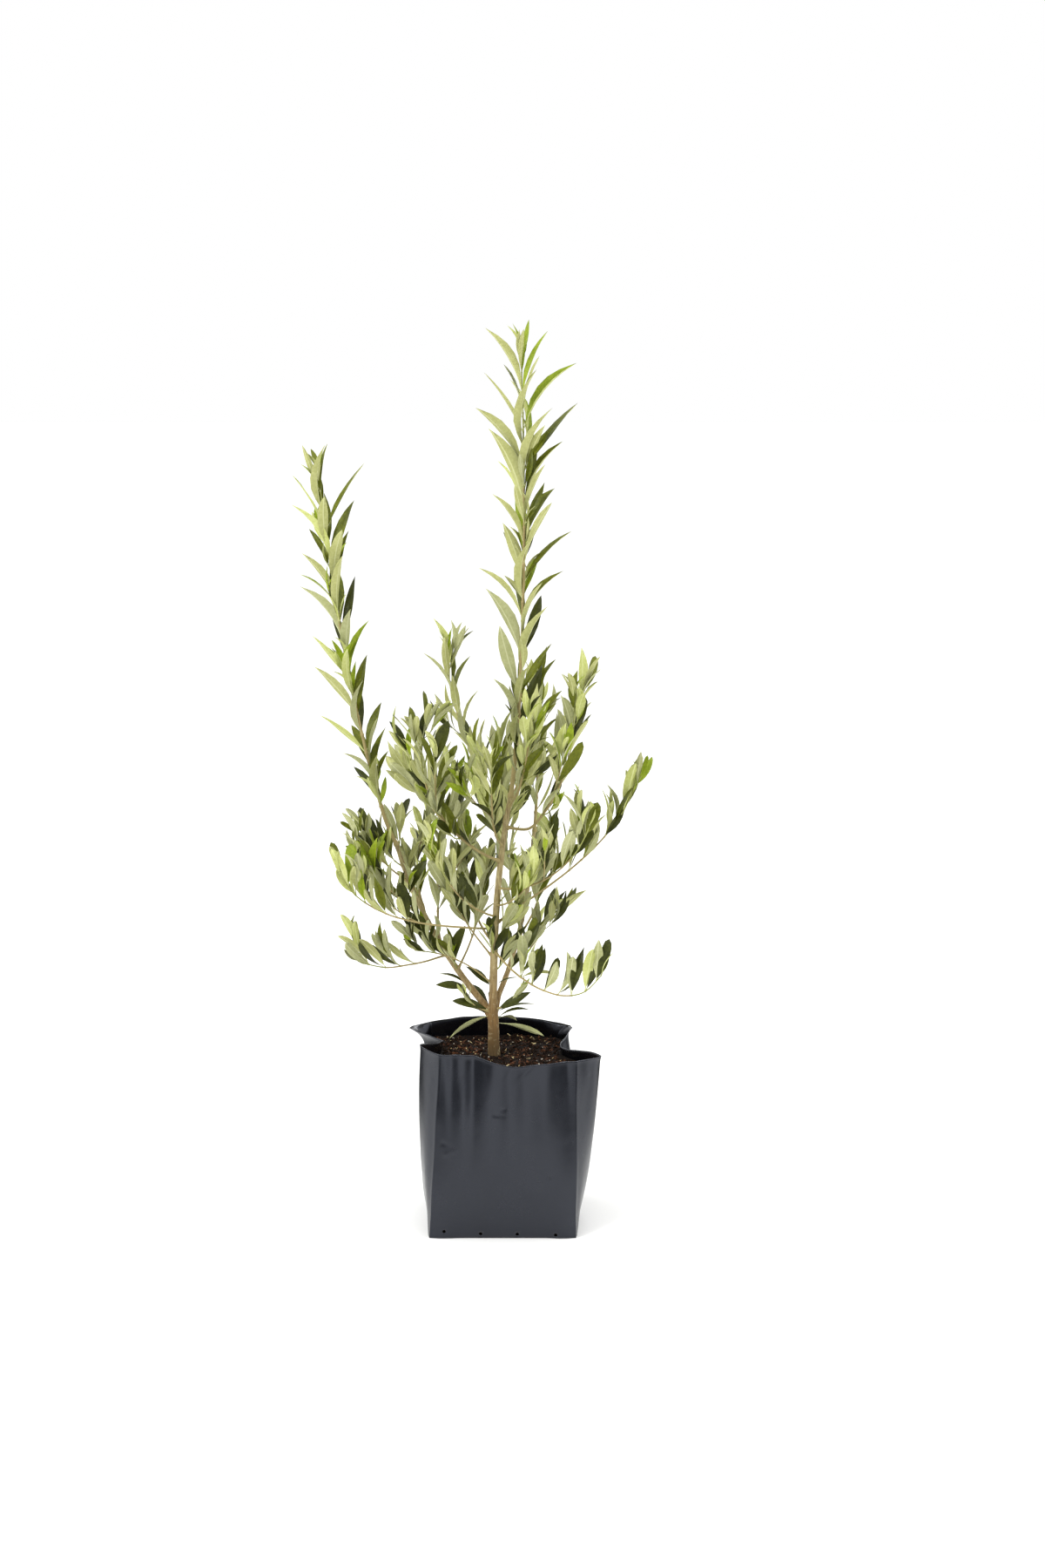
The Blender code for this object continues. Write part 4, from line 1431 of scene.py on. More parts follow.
    def grow_stems(self) -> list[Branch]:
        """Grows every shoot's stem, and notes the limbs and stems in the room.

        Returns:
            The stems.
        """
        for name, stations in self.limbs.items():
            self.room.add_stem(name, stations)
        stems = []
        for shoot in SHOOTS:
            start, foot = self.start_of(shoot)
            girth = (shoot.girth * MM, Growth.TIP_RADIUS * MM)
            route = shoot.bearing.grow(start, shoot.length * MM, girth, Growth.STEM_STEP * MM)
            stems.append(Branch(shoot.name, shoot, route, shoot.pairs, shoot.bare,
                                Order.STEM, foot))
            self.room.add_stem(shoot.name, route)
        return stems

    def grow_twig(self, twig: Branch, owners: Sequence[str], length: float, way: Vector,
                  swing: float, girth: Pair) -> list[Branch]:
        """Grows a twig from its foot, where there is room for it.

        Args:
            twig: The twig, which has no stations yet.
            owners: The names of what it may touch.
            length: Its length, in metres.
            way: Which way it leaves the stem.
            swing: How far it turns by its tip, in degrees.
            girth: Its radius at foot and tip, in metres.

        Returns:
            The twig, or nothing where it would meet something.
        """
        heading, rise = angles(way)
        bearing = Bearing(heading, swing, rise, (Growth.UPRIGHT - rise) * Growth.TWIG_RISE)
        twig.stations = bearing.grow(twig.foot, length, girth, Growth.STEM_STEP * MM)
        rings = [ring_round(station, station.radius * Growth.FACET_GROWTH + Growth.TWIG_CLEAR * MM)
                 for station in twig.stations]
        if any(self.room.touches(low + high, owners) for low, high in zip(rings, rings[1:])):
            return []
        self.room.add_stem(twig.name, twig.stations)
        return [twig]

    def grow_side_twigs(self, stem: Branch) -> list[Branch]:
        """Grows a stem's side twigs, to alternate sides, by the source's rule.

        Args:
            stem: The stem.

        Returns:
            Its twigs.
        """
        twigs = []
        shoot = stem.shoot
        for k in range(shoot.twigs):
            name = f"{shoot.name}_twig{k}"
            draw = random.Random(name)
            first, last = Growth.TWIG_ZONE
            place = station_at(stem.stations, first + (last - first) * (k + 0.5) / shoot.twigs)
            length = shoot.length * MM * draw.uniform(*Growth.TWIG_LENGTHS)
            swing = draw.uniform(-Growth.TWIG_SWING, Growth.TWIG_SWING)
            spread = math.radians(Growth.TWIG_SPREAD)
            for side in (-1, 1) if k % 2 == 0 else (1, -1):
                way = place.along * math.cos(spread) + place.level * side * math.sin(spread)
                way = (way + UP * Growth.TWIG_PULL).normalized()
                girth = (place.radius * Growth.TWIG_GIRTH, Growth.TIP_RADIUS * MM)
                twig = Branch(name, shoot, [], Growth.TWIG_PAIRS, Growth.TWIG_BARE, Order.SIDE,
                              place.point)
                grown = self.grow_twig(twig, (shoot.name, stem.name), length, way, swing, girth)
                if grown:
                    twigs += grown
                    break
        return twigs

    def grow_fine_twigs(self, branch: Branch) -> list[Branch]:
        """Grows the finest twigs in a branch's leaf joints, or only buds on a tall shoot.

        Args:
            branch: The branch.

        Returns:
            Its twigs.
        """
        found = []
        tall = branch.shoot.length > self.tall
        chance = self.bud_chance if tall else self.fine_chance
        if branch.shoot.perk >= 1:
            chance = self.arching_chance
        for k, share in enumerate(branch.nodes):
            place = station_at(branch.stations, share)
            for side in (0, 1):
                name = f"{branch.name}_fine{k}_{side}"
                draw = random.Random(name)
                if draw.random() > chance:
                    continue
                length = (self.bud_length if tall else draw.uniform(*self.fine_length)) * MM
                turn = branch.shoot.phase + Growth.PAIR_TURN * k + 180 * side
                turn = math.radians(turn + draw.uniform(-self.fine_stray, self.fine_stray))
                spread = math.radians(self.bud_spread if tall else self.fine_spread)
                way, _ = leaf_stance(place, turn, spread, branch.shoot.perk * self.fine_perk, 0.0)
                girth = (place.radius * self.fine_girth, self.fine_tip * MM)
                swing = draw.uniform(-self.fine_swing, self.fine_swing)
                pairs = draw.randint(*(self.bud_pairs if tall else self.fine_pairs))
                twig = Branch(name, branch.shoot, [], pairs, self.fine_bare, Order.FINE, place.point)
                owners = (branch.shoot.name, branch.name)
                found += self.grow_twig(twig, owners, length, way, swing, girth)
        return found

    def grow_spurs(self) -> list[Branch]:
        """Grows short leafy spurs on the bare boughs, in crossed pairs.

        Returns:
            The spurs.
        """
        found = []
        low, high = self.spur_zone
        girth = (self.spur_girth * MM, self.fine_tip * MM)
        for limb in LIMBS:
            stations = self.limbs[limb.name]
            length = (stations[-1].point - stations[0].point).length / MM
            count = int(length / self.spur_step)
            for k, side in itertools.product(range(count), (0, 1)):
                place = station_at(stations, (k + 0.5) / count)
                name = f"{limb.name}_spur{k}_{side}"
                draw = random.Random(name)
                if draw.random() > self.spur_chance or not low < place.point.z / MM < high:
                    continue
                turn = math.radians(Growth.PAIR_TURN * k + 180 * side
                                    + draw.uniform(-self.spur_stray, self.spur_stray))
                way, _ = leaf_stance(place, turn, math.radians(self.spur_spread), 0.0, 0.0)
                length = draw.uniform(*self.spur_length) * MM
                swing = draw.uniform(-self.fine_swing, self.fine_swing)
                pairs = draw.randint(*self.fine_pairs)
                spur = Branch(name, SPUR, [], pairs, self.spur_bare, Order.SPUR, place.point)
                found += self.grow_twig(spur, (limb.name,), length, way, swing, girth)
        return found

    def grow_foot_leaves(self) -> None:
        """Grows the dark leaves round the fork, in the limbs' bark."""
        for k, kind in enumerate(FOOT_LEAVES):
            stations = self.limbs[kind.limb]
            place = station_at(stations, share_at_height(stations, kind.height * MM))
            along = direction(kind.heading, kind.rise)
            flat = (UP - along * along.z).normalized()
            roll = math.radians(kind.roll)
            face = flat * math.cos(roll) + along.cross(flat) * math.sin(roll)
            root = place.point + along * place.radius * self.foot_root
            length = kind.length * MM
            leaf = Leaf(root, along, face, length, length * kind.breadth, POINTED[k % 3], Tint.MATURE)
            self.room.add("foot", leaf_corners(leaf, along))
            self.leaves.append(leaf)

    def grow_end(self, branch: Branch) -> Branch:
        """Grows the bud that ends a stem, which carries two pairs of young leaves.

        Args:
            branch: The stem.

        Returns:
            The bud.
        """
        end = branch.stations[-1]
        heading, rise = angles(end.along)
        route = Bearing(heading, 0, rise, 0).grow(
            end.point, self.end_length * MM, (end.radius, self.fine_tip * MM), self.skin_step * MM)
        return Branch(f"{branch.name}_end", branch.shoot, route, self.end_pairs, self.end_bare,
                      Order.END, end.point)

    def tint_of(self, draw: random.Random, branch: Branch, share: float) -> Tint:
        """Picks a leaf's age: older low in the crown, fresher near the tips and on fine twigs.

        Args:
            draw: What the pick is drawn from.
            branch: The leaf's branch.
            share: Where it grows on that.

        Returns:
            Its age.
        """
        height = station_at(branch.stations, share).point.z / CAD_BOX[1][2]
        old = Ageing.OLD - Ageing.OLD * height
        fresh = Ageing.FRESH + Ageing.FRESH_TIP * max(0.0, share - Ageing.TIP) / (1 - Ageing.TIP)
        if branch.order == Order.FINE:
            fresh += Ageing.FRESH_FINE
        else:
            old -= Ageing.LESS_OLD_TIP * share
        fresh += Ageing.FRESH_PLUME * max(0.0, height - Ageing.PLUME)
        fresh *= min(1.0, Ageing.FRESH_RISE * height)
        sprays = random.Random(branch.name[:self.spray_name] + str(branch.order == Order.STEM))
        outer = share > Ageing.FLUSH_OUT and height > Ageing.FLUSH_FROM
        if branch.order == Order.END or (outer and sprays.random() < Ageing.FLUSH):
            fresh = Ageing.FLUSHED
        pick = draw.random()
        if pick < fresh:
            return Tint.FRESH
        return Tint.MATURE if pick < fresh + (1 - fresh) * old else Tint.GREEN

    def grow_leaves(self, branch: Branch) -> None:
        """Grows a branch's leaves in crossed pairs, leaving out each that finds no room.

        Args:
            branch: The branch.
        """
        shoot = branch.shoot
        tall = shoot.length > self.tall
        for k in range(branch.pairs):
            share = branch.bare + (1 - branch.bare) * (k + Growth.PAIR_PLACE) / branch.pairs
            branch.nodes.append(share)
            place = station_at(branch.stations, share)
            last = k == branch.pairs - 1
            for side in (0, 1):
                name = f"{branch.name}_leaf{k}_{side}"
                draw = random.Random(name)
                length = (shoot.leaf[0] + (shoot.leaf[1] - shoot.leaf[0]) * share) * MM
                length *= draw.uniform(*Growth.LEAF_LENGTHS) * (Growth.END_LENGTH if last else 1.0)
                splay = shoot.splay * draw.uniform(*Growth.LEAF_SPLAYS)
                splay *= Growth.END_SPLAY if last else 1.0
                first = shoot.phase + Growth.PAIR_TURN * k + 180 * side
                first += draw.uniform(-Growth.LEAF_SWING, Growth.LEAF_SWING)
                roll = draw.uniform(*Growth.LEAF_ROLLS)
                if branch.order == Order.END:
                    length *= draw.uniform(*(self.plume_leaf if tall else self.end_leaf))
                elif branch.order == Order.FINE:
                    length *= draw.uniform(*(self.bud_leaf if tall else self.fine_leaf))
                node = place.point + place.along * Growth.PAIR_SHIFT * MM * (side or -1)
                slim = shoot.breadth < self.narrow or draw.random() < self.pointed
                kinds = POINTED if slim else ROUNDED
                blade, tint = draw.choice(kinds), self.tint_of(draw, branch, share)
                breadth = shoot.breadth * (self.slim if slim else 1.0)
                breadth *= draw.uniform(*self.breadths)
                length *= draw.uniform(*self.lengths)
                if tall:
                    near_tip = max(0.0, share - self.slender) / (1 - self.slender)
                    length *= self.stretch + (self.tip_length - self.stretch) * near_tip
                    breadth *= 1 + (self.tip_breadth - 1) * near_tip
                splay *= draw.uniform(*self.splays) * (self.hug if tall else 1.0)
                perk = (shoot.perk + (0.0 if tall else self.upright)) * draw.uniform(*self.perks)
                first += draw.uniform(-self.swing, self.swing)
                roll += draw.uniform(-self.roll, self.roll)
                twisted = not tall and draw.random() < self.turned
                clear = (Growth.LEAF_CLEAR if branch.order < Order.FINE else 0.0) * MM
                for extra in (*Growth.LEAF_TRIES, *self.more_tries):
                    along, face = leaf_stance(place, math.radians(first + extra),
                                              math.radians(splay), perk, math.radians(roll))
                    if twisted and face.y < 0 and place.point.x < self.turned_side * MM:
                        face = -face
                    root = node - along * place.radius * Growth.LEAF_SINK
                    leaf = Leaf(root, along, face, length, length * breadth, blade, tint)
                    if self.room.touches(leaf_corners(leaf, place.along, clear),
                                         (shoot.name, branch.name)):
                        continue
                    if self.room.touches(leaf_corners(leaf, place.along, clear, Growth.LEAF_FREE),
                                         (branch.name,)):
                        continue
                    self.room.add(shoot.name, leaf_corners(leaf, place.along))
                    self.leaves.append(leaf)
                    break

    def grow(self) -> None:
        """Grows the whole crown: what the solids have, then the finest twigs with their leaves."""
        stems = self.grow_stems()
        families = [[stem, *self.grow_side_twigs(stem)] for stem in stems]
        for family in families:
            for branch in family:
                self.grow_leaves(branch)
            self.branches += family
        self.grow_foot_leaves()
        spurs = self.grow_spurs()
        for spur in spurs:
            self.grow_leaves(spur)
        self.branches += spurs
        for branch in list(self.branches):
            fine = [self.grow_end(branch)]
            if branch.order < Order.FINE:
                fine += self.grow_fine_twigs(branch)
            for twig in fine:
                self.grow_leaves(twig)
            self.branches += fine

    def skin_of(self, branch: Branch) -> Route:
        """A branch's line: smooth, a little wavering, and thicker at its foot and leaf joints.

        Args:
            branch: The branch.

        Returns:
            The line, as pairs of a point and a radius.
        """
        length = sum((b.point - a.point).length
                     for a, b in zip(branch.stations, branch.stations[1:])) / MM
        count = max(3, round(length / self.skin_step))
        shares = {k / count for k in range(count + 1)}
        for node in branch.nodes:
            shares |= {min(max(node + step * self.node_height / length, 0.0), 1.0)
                       for step in (-1.0, 0.0, 1.0)}
        route = [(branch.foot, branch.stations[0].radius * (1 + self.collar))]
        for share in sorted(shares):
            place = station_at(branch.stations, share)
            run = share * length
            swell = self.collar * math.exp(-run / self.collar_height)
            for node in branch.nodes:
                away = (share - node) * length / self.node_height
                swell += self.node_swell * math.exp(-away * away * self.node_fall)
            seed = Vector((run / self.sway_length, len(branch.name),
                           branch.stations[0].point.z * self.sway_apart))
            sway = noise.noise_vector(seed) * self.sway * MM * min(1.0, run / self.sway_length)
            route.append((smooth_route(branch.stations, share) + sway, place.radius * (1 + swell)))
        return route

    def twig_pieces(self) -> list[Piece]:
        """Makes the skins of the grey-brown stems and of the green finest twigs.

        Returns:
            The stems, then the finest twigs.
        """
        noise.seed_set(self.sway_seed)
        woody, green = Lines(), Lines()
        for branch in self.branches:
            route = self.skin_of(branch)
            turn = 0 if branch.order > Order.SIDE else round(self.young * len(route))
            if turn:
                woody.add(route[:turn + 1])
            green.add(route[turn:])
        wood = TwigBark("one_year_olive_wood", "#ab9b68", "#84764a", "#c4b88c").make()
        soft = TwigBark("green_olive_twig", "#989b54", "#7b8040", "#b4b678").make()
        return [woody.tubes("young_stems", self.sides[0], wood),
                green.tubes("fine_twigs", self.sides[1], soft)]

    def leaf_pieces(self) -> list[Piece]:
        """Makes the leaves by the leaf tree, each tint as a piece of its own.

        Returns:
            The pieces, in the order of the tints.
        """
        tree = leaf_tree()
        pieces = []
        for tint in Tint:
            chosen = [leaf for leaf in self.leaves if leaf.tint is tint]
            mesh = bpy.data.meshes.new(f"{tint.value[0]}_leaves")
            mesh.from_pydata([leaf.root for leaf in chosen], [], [])
            turns, sizes = [], []
            for leaf in chosen:
                across = leaf.along.cross(leaf.face).normalized()
                turns += Matrix((across, leaf.along, leaf.face)).transposed().to_euler()
                sizes += (leaf.width, leaf.length, leaf.length)
            for label, kind, key, values in (
                    ("turn", "FLOAT_VECTOR", "vector", turns),
                    ("size", "FLOAT_VECTOR", "vector", sizes),
                    ("blade", "INT", "value", [leaf.blade for leaf in chosen])):
                mesh.attributes.new(label, kind, "POINT").data.foreach_set(key, values)
            pieces.append(new_object(mesh.name, mesh))
        blades = [blade.make(f"blade_{k:02d}") for k, blade in enumerate(BLADES)]
        with shelf_of("leaf_blades", blades) as shelf:
            for piece, tint in zip(pieces, Tint):
                tree.run(piece, {"Blades": shelf, **tint.materials()})
        return pieces


def leaf_tree() -> GeometryTree:
    """The tree that stands a blade on every point, turned and sized as the point says.

    Returns:
        The tree.
    """
    leaves = GeometryTree("olive_leaves", {
        "Blades": "NodeSocketCollection", "Upper": "NodeSocketMaterial",
        "Under": "NodeSocketMaterial", "Rib": "NodeSocketMaterial"})
    blades = leaves.add("GeometryNodeCollectionInfo", {
        "Collection": leaves.given["Blades"], "Separate Children": True, "Reset Children": True})
    read = {name: leaves.add("GeometryNodeInputNamedAttribute", {"Name": name}, data_type=kind)
            for name, kind in (("blade", "INT"), ("turn", "FLOAT_VECTOR"),
                               ("size", "FLOAT_VECTOR"), ("side", "INT"))}
    stood = leaves.add("GeometryNodeInstanceOnPoints", {
        "Points": leaves.given["Geometry"], "Instance": blades.outputs[0], "Pick Instance": True,
        "Instance Index": read["blade"].outputs[0], "Rotation": read["turn"].outputs[0],
        "Scale": read["size"].outputs[0]})
    covers = {}
    for side in Side:
        test = leaves.add("FunctionNodeCompare", {
            2: read["side"].outputs[0], 3: side.value}, data_type="INT", operation="EQUAL")
        covers[side.name.capitalize()] = test.outputs[0]
    leaves.finish(stood.outputs[0], covers)
    return leaves


# --- Bag ---

@dataclass(frozen=True)
class Fold:
    """One fold of the bag: where it starts on the floor, where it meets the rim, and how crisp it is.

    crease is 0 where the film rolls smoothly and 1 where it is pressed flat. flare is how far the
    cut edge curls away there.
    """
    foot: Pair
    rim: Triple
    swell: Pair = (0.0, 0.0)
    crease: float = 0.0
    flare: Triple = (0.0, 0.0, 0.0)


@dataclass(frozen=True)
class Crinkle:
    """A short pressed line in the film, from one place to another on the unrolled wall.

    Places are a run round the wall from its front left corner and a height. A negative depth goes
    inwards.
    """
    start: Pair
    end: Pair
    depth: float
    width: float

    START = 8.0                  # how fast it starts, over its length
    FADE = 1.3                   # and how it fades towards its end

    def raised(self, run: np.ndarray, height: np.ndarray) -> np.ndarray:
        """How far it moves each place of the wall.

        Args:
            run: Each place's run.
            height: Each place's height.

        Returns:
            How far each moves, in millimetres.
        """
        line = np.subtract(self.end, self.start)
        length = np.hypot(*line)
        share = ((run - self.start[0]) * line[0] + (height - self.start[1]) * line[1]) / length ** 2
        share = np.clip(share, 0.0, 1.0)
        away = np.hypot(run - self.start[0] - share * line[0], height - self.start[1] - share * line[1])
        fade = np.minimum(1.0, share * self.START) * (1 - share) ** self.FADE
        return self.depth * fade * np.exp(-(away / self.width) ** 2)


@dataclass
class NurseryBag:
    """The square-bottomed film bag, its gussets folded in at the rim."""
    film: float = 0.35
    belly: float = 14.0          # how far the filling swells the sides and panels
    swell_rise: float = 3.3      # makes the swelling 1 at its fullest, below half the height
    swell_bend: float = 0.75     # under 1 where it fills out fast above the floor
    column: float = 1.75         # width of a column of faces, at the base
    rows: int = 104
    height: float = 190.0
    base_rings: int = 5
    pillow: float = 1.1          # depth of the broad unevenness
    pillow_size: float = 42.0
    pillow_tall: float = 0.8     # under 1, it is longer upwards
    flute: float = 0.55          # depth of the soft folds that run up the film
    flute_width: float = 15.0
    flute_length: float = 130.0
    flute_seed: float = 7.0
    crackle: float = 0.07        # depth of the fine unevenness
    crackle_size: float = 6.0
    crackle_tall: float = 0.6
    still: float = 9.0           # how fast all of these start above the floor
    rim_flutes: Pair = (0.4, 2.2)  # flutes at the floor, and more at the rim
    rim_waver: float = 0.7
    rim_waver_size: float = 16.0
    rim_waver_seed: float = 3.0
    rim_roll: float = 1.1        # how far the cut edge leans outwards
    rim_roll_height: float = 3.0
    flare_height: float = 4.5    # height over which the edge curls away
    hole: float = 1.9            # radius of a drain hole
    hole_cut: float = 1.15       # what is taken out before its edge is drawn round, over that
    hole_wall: float = 60.0      # the walls with holes lie this far out or more
    light_crinkles: int = 34     # scattered over the sides and the back
    light_from: float = 160.0    # run of the wall where those start
    light_heights: Pair = (12, 178)
    light_lengths: Pair = (6, 26)
    light_slants: tuple[float, ...] = (80, 100, 60, 120, 30)  # degrees, give or take a few
    light_depths: Pair = (-0.5, 0.35)
    light_widths: Pair = (1.3, 2.6)
    folds: tuple[Fold, ...] = (
        Fold((-74, -72), (-61, -80, 197), crease=0.95),
        Fold((-38, -72), (-30, -82, 196), (0.0, -0.4)),
        Fold((4, -72), (10, -86, 186), (0.0, -0.5)),
        Fold((42, -72), (47, -83, 189), (0.0, -0.4)),
        Fold((77, -72), (77, -80, 190), crease=0.95),
        Fold((77, -40), (101.5, -54, 188), (0.34, 0.0), crease=0.3),
        Fold((77, -20), (86, -28, 186), (0.56, 0.0)),
        Fold((77, 0), (60, 2, 182), (1.3, 0.0), crease=0.75),
        Fold((77, 36), (70, 44, 187), (0.42, 0.0)),
        Fold((77, 72), (58, 71, 187), crease=0.97, flare=(15, -3, 1.0)),
        Fold((30, 72), (24, 81, 193), (0.0, 0.4)),
        Fold((-30, 72), (-36, 81, 194), (0.0, 0.4)),
        Fold((-74, 72), (-76, 74, 190), crease=0.9),
        Fold((-74, 40), (-84, 50, 187), (0.4, 0.0), crease=0.6, flare=(-14, 3, 1.6)),
        Fold((-74, 0), (-60, 2, 189), (-1.1, 0.0), crease=0.75),
        Fold((-74, -24), (-77, -30, 195), (-0.5, 0.0)),
        Fold((-74, -44), (-83, -54, 199), (-0.35, 0.0), crease=0.2),
    )
    pressed: tuple[Crinkle, ...] = tuple(Crinkle(*row) for row in (
        ((106, 192), (78, 164), -1.0, 2.2),
        ((84, 190), (70, 168), 0.5, 1.8),
        ((75, 141), (62, 139), -1.1, 1.6),
        ((61, 135), (77, 133), -1.6, 1.8),
        ((121, 67), (131, 71), -1.1, 1.8),
        ((4, 25), (60, 20), 0.75, 2.0),
        ((44, 20), (148, 22), 0.55, 2.2),
        ((5, 104), (24, 97), -0.5, 2.4),
        ((9, 90), (28, 98), 0.4, 2.2),
        ((10, 214), (20, 62), -3.0, 6.0),
        ((38, 214), (40, 30), -3.8, 7.0),
        ((60, 212), (56, 70), 1.9, 7.0),
        ((118, 210), (122, 20), 1.9, 12.0),
        ((30, 176), (32, -20), 1.5, 8.0),
        ((70, 170), (66, -30), -1.2, 12.0),
        ((140, 212), (146, 40), -2.9, 6.0),
    ))
    holes: tuple[Pair, ...] = (
        (-58.7, 7.5), (-21.1, 4.9), (16.5, 4.4), (55.9, 3.6))

    def fold_point(self, fold: Fold, level: float) -> np.ndarray:
        """Where a fold passes at a level.

        Args:
            fold: The fold.
            level: The level, 0 at the floor and 1 at the rim.

        Returns:
            The point, in millimetres.
        """
        swell = self.swell_rise * level ** self.swell_bend * (1 - level) * self.belly
        curl = math.exp(-(1 - level) * fold.rim[2] / self.flare_height)
        return np.array([fold.foot[axis] + (fold.rim[axis] - fold.foot[axis]) * level
                         + fold.swell[axis] * swell + fold.flare[axis] * curl for axis in (0, 1)]
                        + [fold.rim[2] * level + fold.flare[2] * curl])

    def steps(self) -> list[int]:
        """How many columns lie between each fold and the next.

        Returns:
            The counts, in the folds' order.
        """
        feet = [fold.foot for fold in self.folds]
        return [max(3, round(math.dist(here, after) / self.column))
                for here, after in zip(feet, feet[1:] + feet[:1])]

    def ring(self, level_at: Callable[[Fold], float]) -> np.ndarray:
        """The bag's outline, in millimetres.

        Args:
            level_at: Gives the level at which each fold is met.

        Returns:
            Its points, one for each column.
        """
        knots = [self.fold_point(fold, level_at(fold)) for fold in self.folds]
        count = len(knots)
        points = []
        for k, steps in enumerate(self.steps()):
            around = [knots[(k + step) % count] for step in (-1, 0, 1, 2)]
            crisp = self.folds[k].crease, self.folds[(k + 1) % count].crease
            for step in range(steps):
                t = step / steps
                soft = curve_through(*around, t)
                flat = around[1] + (around[2] - around[1]) * t
                near = crisp[0] * (1 - t) ** 2 + crisp[1] * t ** 2
                points.append(soft + (flat - soft) * near)
        return np.array(points)

    def outward(self, ring: np.ndarray) -> np.ndarray:
        """The level direction out of the bag at each point of a ring.

        Args:
            ring: The ring.

        Returns:
            The directions.
        """
        along = np.roll(ring, -1, axis=0) - np.roll(ring, 1, axis=0)
        out = np.stack([along[:, 1], -along[:, 0], np.zeros(len(ring))], axis=1)
        return out / np.linalg.norm(out, axis=1, keepdims=True)

    def all_crinkles(self, round_the_wall: float) -> Iterator[Crinkle]:
        """The pressed lines that are named, then light ones scattered over every side.

        Args:
            round_the_wall: The length of the wall's whole run.

        Yields:
            Each line.
        """
        yield from self.pressed
        draw = random.Random("film_crinkles")
        for _ in range(self.light_crinkles):
            run = draw.uniform(self.light_from, round_the_wall)
            height = draw.uniform(*self.light_heights)
            length = draw.uniform(*self.light_lengths)
            slant = math.radians(draw.choice(self.light_slants)) + draw.uniform(-0.2, 0.2)
            end = run + length * math.cos(slant), height + length * math.sin(slant)
            depth, width = draw.uniform(*self.light_depths), draw.uniform(*self.light_widths)
            yield Crinkle((run, height), end, depth, width)

    def wall(self) -> np.ndarray:
        """The wall, with its folds, its unevenness and its cut edge.

        Returns:
            The points, by row and column.
        """
        levels = np.linspace(0.0, 1.0, self.rows + 1)
        rings = np.array([self.ring(lambda fold, level=level: level) for level in levels])
        spans = np.linalg.norm(np.diff(rings[0], axis=0), axis=1)
        run = np.tile(np.concatenate([[0.0], np.cumsum(spans)]), (len(levels), 1))
        height = rings[:, :, 2]
        moved = np.zeros_like(run)
        for crinkle in self.all_crinkles(run.max()):
            moved += crinkle.raised(run, height)
        for row, ring in enumerate(rings):
            level = levels[row]
            held = min(1.0, level * self.still)
            fluted = self.rim_flutes[0] + self.rim_flutes[1] * level ** 2
            for column, point in enumerate(ring):
                x, y, z = point
                broad = noise.noise(Vector((x, y, z * self.pillow_tall)) / self.pillow_size)
                flutes = noise.noise(Vector((x / self.flute_width, y / self.flute_width,
                                             z / self.flute_length + self.flute_seed)))
                fine = noise.noise(Vector((x, y, z * self.crackle_tall)) / self.crackle_size)
                moved[row, column] += held * (broad * self.pillow + fine * self.crackle
                                              + flutes * self.flute * fluted)
            moved[row] *= held
            below = (1 - level) * self.height
            moved[row] += self.rim_roll * math.exp(-below / self.rim_roll_height)
            rings[row] += self.outward(ring) * moved[row][:, None]
            waver = [noise.noise(Vector((*point[:2] / self.rim_waver_size, self.rim_waver_seed)))
                     for point in ring]
            rings[row][:, 2] += np.array(waver) * self.rim_waver * level ** 3
        return rings

    def punch(self, shape: Shape) -> None:
        """Punches the drain holes: faces are taken out and what is left is drawn to a round edge.

        Args:
            shape: The film, which is changed.
        """
        for side in (-1, 1):
            for x, z in self.holes:
                centre = Vector((x * -side, 0.0, z))
                gone = []
                for face in shape.faces:
                    middle = face.calc_center_median() / MM
                    flat = Vector((middle.x - centre.x, 0.0, middle.z - centre.z))
                    if middle.y * side > self.hole_wall and flat.length < self.hole * self.hole_cut:
                        gone.append(face)
                edge = {vert for face in gone for vert in face.verts}
                bmesh.ops.delete(shape, geom=gone, context="FACES")
                for vert in edge:
                    if vert.is_valid and vert.link_faces:
                        away = Vector((vert.co.x / MM - centre.x, 0.0, vert.co.z / MM - centre.z))
                        round_place = centre + away.normalized() * self.hole
                        vert.co.x, vert.co.z = round_place.x * MM, round_place.z * MM

    def build(self) -> Piece:
        """Builds the bag as a closed film.

        Returns:
            The piece.
        """
        shape = bmesh.new()
        wall = self.wall()[::-1, ::-1] * MM
        middle = wall[-1].mean(axis=0)
        base = [wall[-1] + (middle - wall[-1]) * ring / self.base_rings
                for ring in range(1, self.base_rings)]
        add_skin(shape, [*wall, *base], middle)
        self.punch(shape)
        bag = object_from("film_bag", shape)
        # The outer film, a darker copy on its inner faces (painted shade), and its cut edge painted
        # pale grey: a painted highlight for the light that the thin edge catches.
        for film in (PolytheneFilm(),
                     PolytheneFilm("shaded_inner_film", "#040406", "#08080b", "#12110f"),
                     PolytheneFilm("cut_film_edge", "#3c3e44", "#5a5c62", "#7c7b78")):
            bag.data.materials.append(film.make())
        film = bag.modifiers.new("film", "SOLIDIFY")
        film.thickness = self.film * MM
        film.offset = -1.0
        film.material_offset = 1
        film.material_offset_rim = 2
        return settle(bag)


# --- Filling ---

